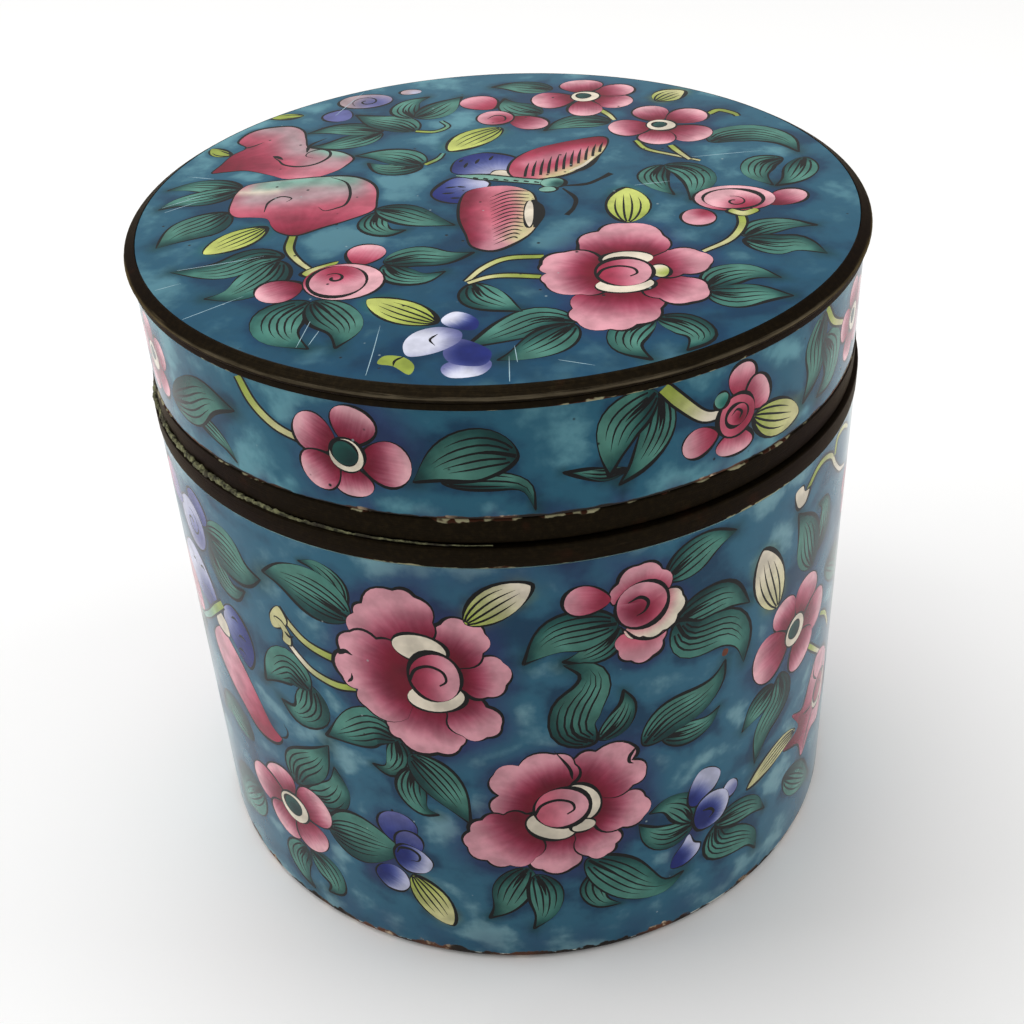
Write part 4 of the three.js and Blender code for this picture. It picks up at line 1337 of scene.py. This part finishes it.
# Flowers at the back of the top
lid_top.oval((-12.6, 42.4), 1.8, 1.2, POWDER_BLUE, MAUVE_GREY, 0.3)
lid_top.egg([(-22.4, 36.2), (-24.6, 31.4)], 2.4, LILAC, LILAC)
lid_top.oval((-19.6, 39.4), 4.2, 3.2, LILAC, MAUVE_GREY)
lid_top.whorl((-19.4, 39.2), 2.4, 1.3, 2.0, 0.35)
lid_top.egg([(0.4, 32.6), (-3.4, 38.2)], 3.0, ROSE, BLUSH)
lid_top.egg([(2.8, 28.8), (8, 24)], 2.6, CRIMSON, BLUSH)
lid_top.oval((0.6, 28.8), 2.8, 3.0, ROSE, BLUSH)
lid_top.ink([(-0.6, 28.6), (0.6, 29.8), (2, 29.2), (2, 27.6), (0.9, 27.2)], 0.35)
lid_top.five((14.8, 36.1), [([(17, 35), (21.4, 31.8)], 2.7), ([(17.2, 37.4), (22.6, 39.2)], 2.4),
                            ([(14.3, 33.6), (14.2, 27.6)], 2.4), ([(14.6, 38.6), (14.4, 43.6)], 3.1),
                            ([(12.3, 35.8), (6.4, 34.4)], 3.1)], 1.15)
lid_top.five((25.1, 22.5), [([(24.4, 24.8), (23.6, 30.6)], 2.5), ([(27, 24.2), (32, 27.6)], 2.7),
                            ([(27, 21), (31.2, 16.8)], 3.0), ([(24.6, 20.2), (23.2, 15.2)], 2.5),
                            ([(22.8, 22.2), (17.2, 21.8)], 2.9)], 1.1)
# Butterfly
lid_top.shape([(-5.6, 8.4), (-6, 11), (-4.8, 13.8), (-1.5, 15.3), (2, 14), (3.8, 11.6), (2.6, 8.4),
               (-1.6, 7.4)], POWDER_BLUE, COBALT, grain_from((0.5, 6.5), 11))
lid_top.shape([(-5.2, 7), (-7.8, 4.6), (-8.8, 1.6), (-7.4, -0.8), (-4.5, -1.6), (-2, 1.4), (-0.8, 4.8)],
              POWDER_BLUE, COBALT, grain_from((-1, 5), 10))
for x, y, dx, dy in ((-4.2, 10.2, 0.5, 1.8), (-2.6, 11.4, 0.6, 1.8), (-0.6, 12.4, 0.6, 1.6),
                     (-4.9, 12.4, 0.6, 0.9), (-6.9, 3.6, 1.7, 0.2), (-7.3, 1.8, 1.8, 0),
                     (-5.2, 3.9, 1.2, -0.4), (-6.2, 0.2, 1.6, -0.2)):
    lid_top.ink([(x, y), (x + 0.5 * dx, y + 0.6 * dy), (x + dx, y + dy)], 0.5)
lid_top.shape([(-0.6, 6.8), (0, 8.6), (1.8, 8.4), (2.4, 6.4), (1, 5.6)], CREAM, CREAM,
              grain_from((1, 7), 3), 0.35)
wing = lid_top.shape([(1.9, 8.4), (3, 12.5), (6.3, 15.9), (11.3, 18.1), (15.6, 19.2), (16.8, 17.6),
                      (15.6, 13.1), (13.2, 8.8), (10, 5.8), (6.3, 4.8), (3, 5.6)], PINK, ROSE,
                     grain_along(through([(9, 3), (10, 10), (8, 20)]), 9), 0)
lid_top.wash([(9, 18.4), (13, 19.6), (16.8, 19)], 4, CRIMSON, 0.9, True)
lid_top.wash([(5, 10.6), (9, 12.6), (12.6, 14)], 3, BLUSH, 0.75, True)
lid_top.wash([(8, 5.4), (12.6, 8.8), (15.8, 14)], 3.2, STRAW, 1.0, True)
lid_top.contour(wing, 0.42)
for k in range(11):
    x, low_end, high_end = 4.2 + 1.1 * k, 5.9 + 0.074 * k * k, 10.8 + 0.62 * k
    lid_top.ink([(x, low_end), (x + 0.3, 0.5 * (low_end + high_end)), (x + 0.8, high_end)], 0.45, 0.9, 0.1)
lid_top.ink([(10.8, 6.4), (13.4, 8.8), (15.4, 12.8)], 1.1, 0.2, 0.2)
lid_top.ink([(10.4, 7), (12.6, 9), (14.4, 12)], 0.6, 0.2, 0.2, 6, CREAM)
wing = lid_top.shape([(-3.2, 2.6), (-4.8, -0.6), (-5.1, -6.3), (-4.2, -11.3), (-3.4, -15), (-0.8, -16.6),
                      (1.9, -15), (4.4, -11.9), (5.7, -7.5), (5.5, -3.1), (4.8, 0.8), (1.6, 3.2)], PINK,
                     BLUSH, grain_from((-1, -4), 16), 0)
lid_top.wash([(-4, 2.4), (-5, -4), (-4.4, -10), (-3.2, -15)], 3.6, CRIMSON, 0.95, True)
lid_top.wash([(4.6, 0), (4.8, -6), (3, -13)], 3.6, STRAW, 1.0, True)
lid_top.wash([(-1.2, -15.6)], 3.6, BLUSH, 0.9, True)
lid_top.contour(wing, 0.42)
for k in range(14):
    y = 1.4 - 1.1 * k
    lid_top.ink([(4.6 - 0.012 * k * k, y - 0.4), (1.8, y), (-0.9 + 0.02 * k, y - 1.9)], 0.38, 0.3, 0.1)
lid_top.ink([(5, -1.8), (5.7, -6), (4.9, -10.4)], 1.7, 0.3, 0.3)
lid_top.oval((4.3, -6.2), 0.7, 4.2, CREAM, CREAM, 0.3, -0.04)
back = [(-5.4, 7.6), (-1, 6.4), (4, 4.6), (7.4, 3.5)]
lid_top.ink(back, 2.4, 0.2, 0.9)
lid_top.ink(back, 1.5, 0.1, 0.9, 6, CELADON)
for k in range(7):
    x = -2.8 + 1.4 * k
    lid_top.ink([(x - 0.2, 6.6 - 0.42 * k), (x + 0.5, 6.2 - 0.42 * k)], 0.45, 0.9, 0.8)
lid_top.oval((8.0, 3.4), 1.8, 1.7, LEAF_DEEP, CELADON, 0.45)
lid_top.oval((7.2, 1.3), 1.3, 0.9, CELADON, CELADON, 0.35)
lid_top.ink([(9.3, 2.2), (12.5, 2.4), (14.6, 4), (16.2, 5.6)], 0.8, 0.4, 1.2)
lid_top.ink([(9.2, 1.4), (10.7, -2), (10.3, -5), (9.2, -7.2)], 0.7, 0.4, 1.1)
# Roses, peony and buds at the front of the top
lid_top.shape([(-25, -19.8), (-23.6, -18.2), (-20.4, -16.8), (-21.4, -18.8), (-23.2, -20.8)], STRAW,
              BUD_GREEN, grain_from((-23, -19), 3), 0.35)
lid_top.egg([(-18, -18.4), (-16.2, -12.6)], 2.6, ROSE, SHELL_PINK)
lid_top.egg([(-24.4, -22.4), (-30, -25.2)], 3.0, CRIMSON, SHELL_PINK)
lid_top.oval((-19.4, -22.4), 5.2, 4.7, ROSE, SHELL_PINK, 0.3, 0, (-0.8, 0.5))
lid_top.oval((-20.2, -22.2), 3.8, 4.0, ROSE, BLUSH, 0.55, 0, (0, 0.7))
lid_top.whorl((-20.6, -21.4), 1.4, 1.0, 2.4, 0.5)
lid_top.bud([(17, -10.4), (17.6, -5), (17.8, 0.6)], 3.0, tip=LIME)
LID_PEONY = (15.3, -24)
for cusps in (
    [(10.8, -28.2), (8.3, -32.6), (8.6, -35.8), (12.4, -37.9), (15.6, -37.2), (18.8, -33.6), (18.4, -29.4)],
    [(18.4, -27.4), (22.8, -26.2), (25, -29.2), (22.6, -32.6), (18.8, -31.2), (17, -28.4)],
    [(19, -20.4), (21.4, -18.8), (25.2, -19.6), (26, -23.4), (22.4, -25.4), (19, -25.4)],
    [(12.4, -19.8), (10.1, -16.2), (12.9, -12.5), (16.6, -10.6), (21.2, -14.6), (20, -19.8)],
    [(12.6, -19.6), (8.2, -17.9), (5.1, -21), (5.7, -23.4), (5.3, -26), (9.6, -29.2), (13, -28.2)],
):
    lid_top.fan(LID_PEONY, cusps)
lid_top.oval((15.9, -20.5), 3.4, 1.9, CREAM, CREAM)
lid_top.oval((15.1, -27.4), 3.7, 2.0, CREAM, CREAM)
lid_top.oval((19.7, -24.2), 1.3, 1.7, BUD_GREEN, CREAM, 0.35)
lid_top.heart((15.3, -24), 3.6, 3.7, ROSE, BLUSH)
lid_top.oval((26.3, -9.8), 2.4, 2.5, ROSE, BLUSH, 0.4, 0, (0.5, 0.6))
lid_top.egg([(36, -6.8), (41.4, -2.8)], 2.3, CRIMSON, SHELL_PINK)
lid_top.oval((31.8, -4.4), 5.6, 4.0, ROSE, SHELL_PINK, 0.3, 0, (0, -0.9))
lid_top.oval((31.6, -4.6), 4.0, 3.2, ROSE, SHELL_PINK, 0.6, 0, (0.4, -0.8))
lid_top.whorl((31.7, -5.4), 1.7, 1.1, 1.2, 0.36)
lid_top.shape([(30.2, -8.6), (31, -7.6), (32.4, -8.4), (34, -7.8), (34.4, -8.8), (32.2, -10)], STRAW,
              BUD_GREEN, grain_from((32, -9), 3), 0.35)
lid_top.bud([(-7.8, -34.2), (-12, -31), (-16.2, -27.4)], 2.6, tip=LIME)
lid_top.wash([(-6, -34), (-4.4, -39), (-4, -44)], 5.5, INDIGO, 0.45)
lid_top.shape([(-7.2, -33.4), (-5.8, -31.8), (-4, -32.5), (-2.8, -34.4), (-3.2, -36.2), (-4.6, -36.2),
               (-6.6, -35)], FROST_BLUE, COBALT, grain_from((-6.8, -32.4), 5, 0.25), 0)
lid_top.shape([(-7.2, -45), (-6, -46.6), (-3, -46.4), (-1.6, -44.8), (-1.8, -43.2), (-4, -42.6),
               (-6.6, -43.4)], FROST_BLUE, LILAC, grain_from((-4.6, -46.8), 5, 0.2), 0)
lid_top.shape([(-6.8, -40.2), (-5, -38.2), (-1.8, -40.8), (-1.6, -43), (-2.8, -44.4), (-5.6, -43.8),
               (-6.8, -42.2)], COBALT, LILAC, grain_from((-3.4, -41.6), 4.6, 0.3), 0)
lid_top.shape([(-11.2, -37.4), (-9.8, -35.8), (-7.4, -35.2), (-5, -36.4), (-5, -38.6), (-6.8, -40.4),
               (-9, -41.4), (-11, -41.4), (-11.6, -39.4)], FROST_BLUE, LILAC,
              grain_from((-10, -38.4), 7, 0.25), 0)
lid_top.ink([(-7.6, -36.8), (-8.5, -38), (-7.9, -39.4)], 0.35)
lid_top.shape([(-14.4, -42.6), (-13.6, -41), (-11.4, -41.6), (-10.2, -43.6), (-10.8, -45.4),
               (-12.6, -43.4)], BUD_GREEN, BUD_GREEN, grain_from((-12, -43), 3), 0)
lid_top.ink([(-11.4, -41.4), (-12.4, -42.2), (-12.6, -43.4)], 0.4)
# Scratches through the gloss, most of them at the front left
SCUFF = pigment(150, 178, 188)
for points in (
    [(-41, -16.4), (-35, -15.2), (-30, -14)], [(-38.4, -29.4), (-35, -27), (-31.6, -24.6)],
    [(-43, -21.4), (-40, -20)], [(-15.6, -45), (-15, -40), (-14.4, -34)], [(0.4, -48), (0.5, -42.6)],
    [(1.4, -44), (1.2, -40.4)], [(-22.8, -32), (-24, -38)], [(-21.6, -34.4), (-22.6, -37.6)],
    [(-46, 3.2), (-40.6, 6.6)], [(-45.4, 1.6), (-41, 4.6)], [(-40, 12), (-44, 13.6)],
    [(28, 10), (38, 11.2)], [(-24, 34), (-20, 44)], [(19, 1.2), (24, 2)], [(6, -44), (10, -45.6)],
):
    lid_top.ink(points, 0.11, 0.5, 0.2, 6, SCUFF)


def crown_height(x, y):
    """Slight dome: the edge's height, plus the crown less its share of the squared radius."""
    return LID_TOP_EDGE + LID_CROWN * (1 - (x**2 + y**2) / LID_TOP_RADIUS**2)


def disc_sheet(painting, radius):
    """Painted sheet with a round edge of as many points as the turned parts have columns."""
    a = -np.pi + 2 * np.pi * np.arange(COLUMNS) / COLUMNS
    border = np.stack([radius * np.sin(a), -radius * np.cos(a)], 1)
    columns, rows = (np.arange(-radius, radius, step) for step in (PAINT_GRID_MM, PAINT_GRID_MM * 0.87))
    gx, gy = np.meshgrid(columns, rows, indexing="ij")
    gx[:, 1::2] += PAINT_GRID_MM / 2
    free = np.stack([gx.ravel(), gy.ravel()], 1)
    free = free[np.hypot(*free.T) < radius - 0.5]

    def keep_in(outline):
        r = np.hypot(*outline.T)[:, None]
        return outline * np.minimum(1, (radius - DISC_EDGE_GAP) / np.maximum(r, 1e-9))
    return painted_sheet(painting, border, loop_edges(COLUMNS), keep_in, free)


lid_side = wall_sheet(lid_wall, LID_RADIUS, *LID_WALL)
lid_disc = disc_sheet(lid_top, LID_TOP_RADIUS)
LID_MAP_SIDE = 166
lid_strips = [(0, 99), (0, 115), (0, 131), (0, 147)]
side_map = quarter_strips(lid_side, LID_RADIUS, LID_WALL[0], lid_strips, LID_MAP_SIDE)
top_map = (lid_disc[0][lid_disc[1]] + LID_TOP_RADIUS + 0.5) / LID_MAP_SIDE
lid_bare_map = ((0.63, 0.01), (0.99, 0.55))
step_in = [(LID_RADIUS, LID_WALL[1]), (LID_TOP_RADIUS, LID_WALL[1]), (LID_TOP_RADIUS, LID_TOP_EDGE)]
lid_inside = [(0, LID_CEILING), (24, LID_CEILING)]
lid_inside += arc(LID_BORE - INSIDE_CORNER_ROUND, LID_CEILING - INSIDE_CORNER_ROUND, INSIDE_CORNER_ROUND, 90, 0)
lid_inside += [(LID_BORE, LID_WALL[0]), (LID_RADIUS, LID_WALL[0])]
top_points = np.column_stack([lid_disc[0], crown_height(*lid_disc[0].T)])


def lid_normals(p):
    """Straight out on the painted wall, and across the dome on the top."""
    slope = 2 * LID_CROWN / LID_TOP_RADIUS**2
    dome = np.column_stack([slope * p[:, :2], np.ones(len(p))])
    dome /= np.linalg.norm(dome, axis=1)[:, None]
    on_top = p[:, 2] > LID_TOP_EDGE - 0.001
    return np.where(on_top[:, None], dome, wall_normals(p, LID_RADIUS, LID_WALL[0]))


painted_lid = enamel_mesh("painted_lid", [
    (bend_round(lid_side[0], LID_RADIUS), *lid_side[1:], side_map),
    (top_points, *lid_disc[1:], top_map),
    plain_part(step_in, JOINT_DARK, lid_bare_map),
    plain_part(lid_inside, BARE_INSIDE, lid_bare_map),
], lid_normals)
painted_lid.data.materials.append(enamel_material(
    "lid_enamel", tone(12, 56, 82), tone(35, 89, 111), tone(88, 140, 152), 0.22, 0.05, LID_WALL[0] * MM, 0.0004))
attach(painted_lid, "root")
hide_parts("lid_shell")


# Top ring of the lid: a brass moulding round the upper edge, with a strip, a bead and a slope up to
# the enamel. A painted highlight runs along the bead as a lighter band, which also stands for wear from hands,
# and the groove under it is black.
RING_INNER, RING_FOOT = 48.625, 95.25
STRIP_RADIUS, STRIP_TOP, STRIP_ROUND = 49.8, 96.25, 0.15
BEAD_RADIUS, BEAD_HEIGHT, BEAD_ROUND = 49.725, 96.75, 0.45
ring_profile = [(RING_INNER, RING_FOOT), *rounded_side(STRIP_RADIUS, RING_FOOT, STRIP_TOP, STRIP_ROUND)]
ring_profile += arc(BEAD_RADIUS, BEAD_HEIGHT, BEAD_ROUND, -72, 62, 10)
ring_profile += [(49.4, 97.42), (49.0, 97.66), (48.74, 97.82)]
ring_profile += [(RING_INNER, LID_TOP_EDGE), (RING_INNER, RING_FOOT)]
lid_ring = turned_piece("lid_ring_brass", ring_profile, 42)
BEAD_HIGHLIGHT = (0.09696, 0.0004)  # height of the painted highlight along the bead, which also stands for wear, and how far it reaches, in metres
lid_ring.data.materials.append(brass_material("lid_ring_brass", RING_FOOT * MM, 1.0, 0.0, BEAD_HIGHLIGHT))
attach(lid_ring, "root")
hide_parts("lid_top_ring")


# Floor and light: a plain pale sweep under soft light from above and both sides, as in a studio.
FLOOR_HALF = 1.5
sweep_mesh = bpy.data.meshes.new("pale_floor")
floor_corners = [(x * FLOOR_HALF, y * FLOOR_HALF, 0) for x, y in ((-1, -1), (1, -1), (1, 1), (-1, 1))]
sweep_mesh.from_pydata(floor_corners, [], [(0, 1, 2, 3)])
pale_floor = add_object("pale_floor", sweep_mesh)
floor_paint, tree, inputs, place = new_material("pale_floor")
floor_colour = mix_colour(tree, noise(tree, place, 3.0), (0.86, 0.86, 0.86, 1), (0.89, 0.89, 0.89, 1))
feed(tree, inputs, {"Base Color": floor_colour, "Roughness": 0.7})
sweep_mesh.materials.append(floor_paint)

world = bpy.data.worlds.new("soft_room")
scene.world = world
world.use_nodes = True
world.node_tree.nodes["Background"].inputs["Color"].default_value = (1.0, 0.99, 0.97, 1)
world.node_tree.nodes["Background"].inputs["Strength"].default_value = 0.55
scene.view_settings.view_transform = "Standard"
scene.view_settings.look = "None"


def soft_box(name, place, aim, size, power):
    """Square light that faces a point."""
    light = bpy.data.lights.new(name, "AREA")
    light.shape = "RECTANGLE"
    light.size, light.size_y = size
    light.energy = power
    lamp = add_object(name, light)
    ahead = np.array(aim, float) - np.array(place, float)
    ahead /= np.linalg.norm(ahead)
    right = np.cross(ahead, [0, 0, 1] if abs(ahead[2]) < 0.99 else [0, 1, 0])
    right /= np.linalg.norm(right)
    axes = np.stack([right, np.cross(right, ahead), -ahead], 1)
    lamp.matrix_world = Matrix.Translation(place) @ Matrix(axes.tolist()).to_4x4()
    return lamp


soft_box("overhead_light", (-0.15, 0.25, 0.9), (0, 0, 0.05), (0.7, 0.7), 4.6)
for side_light in (soft_box("left_light", (-0.75, 0.05, 0.35), (0, 0, 0.05), (0.4, 0.6), 2.6),
                   soft_box("right_light", (0.75, 0.05, 0.35), (0, 0, 0.05), (0.4, 0.6), 2.2)):
    side_light.visible_glossy = False  # they don't mirror in the glossy enamel
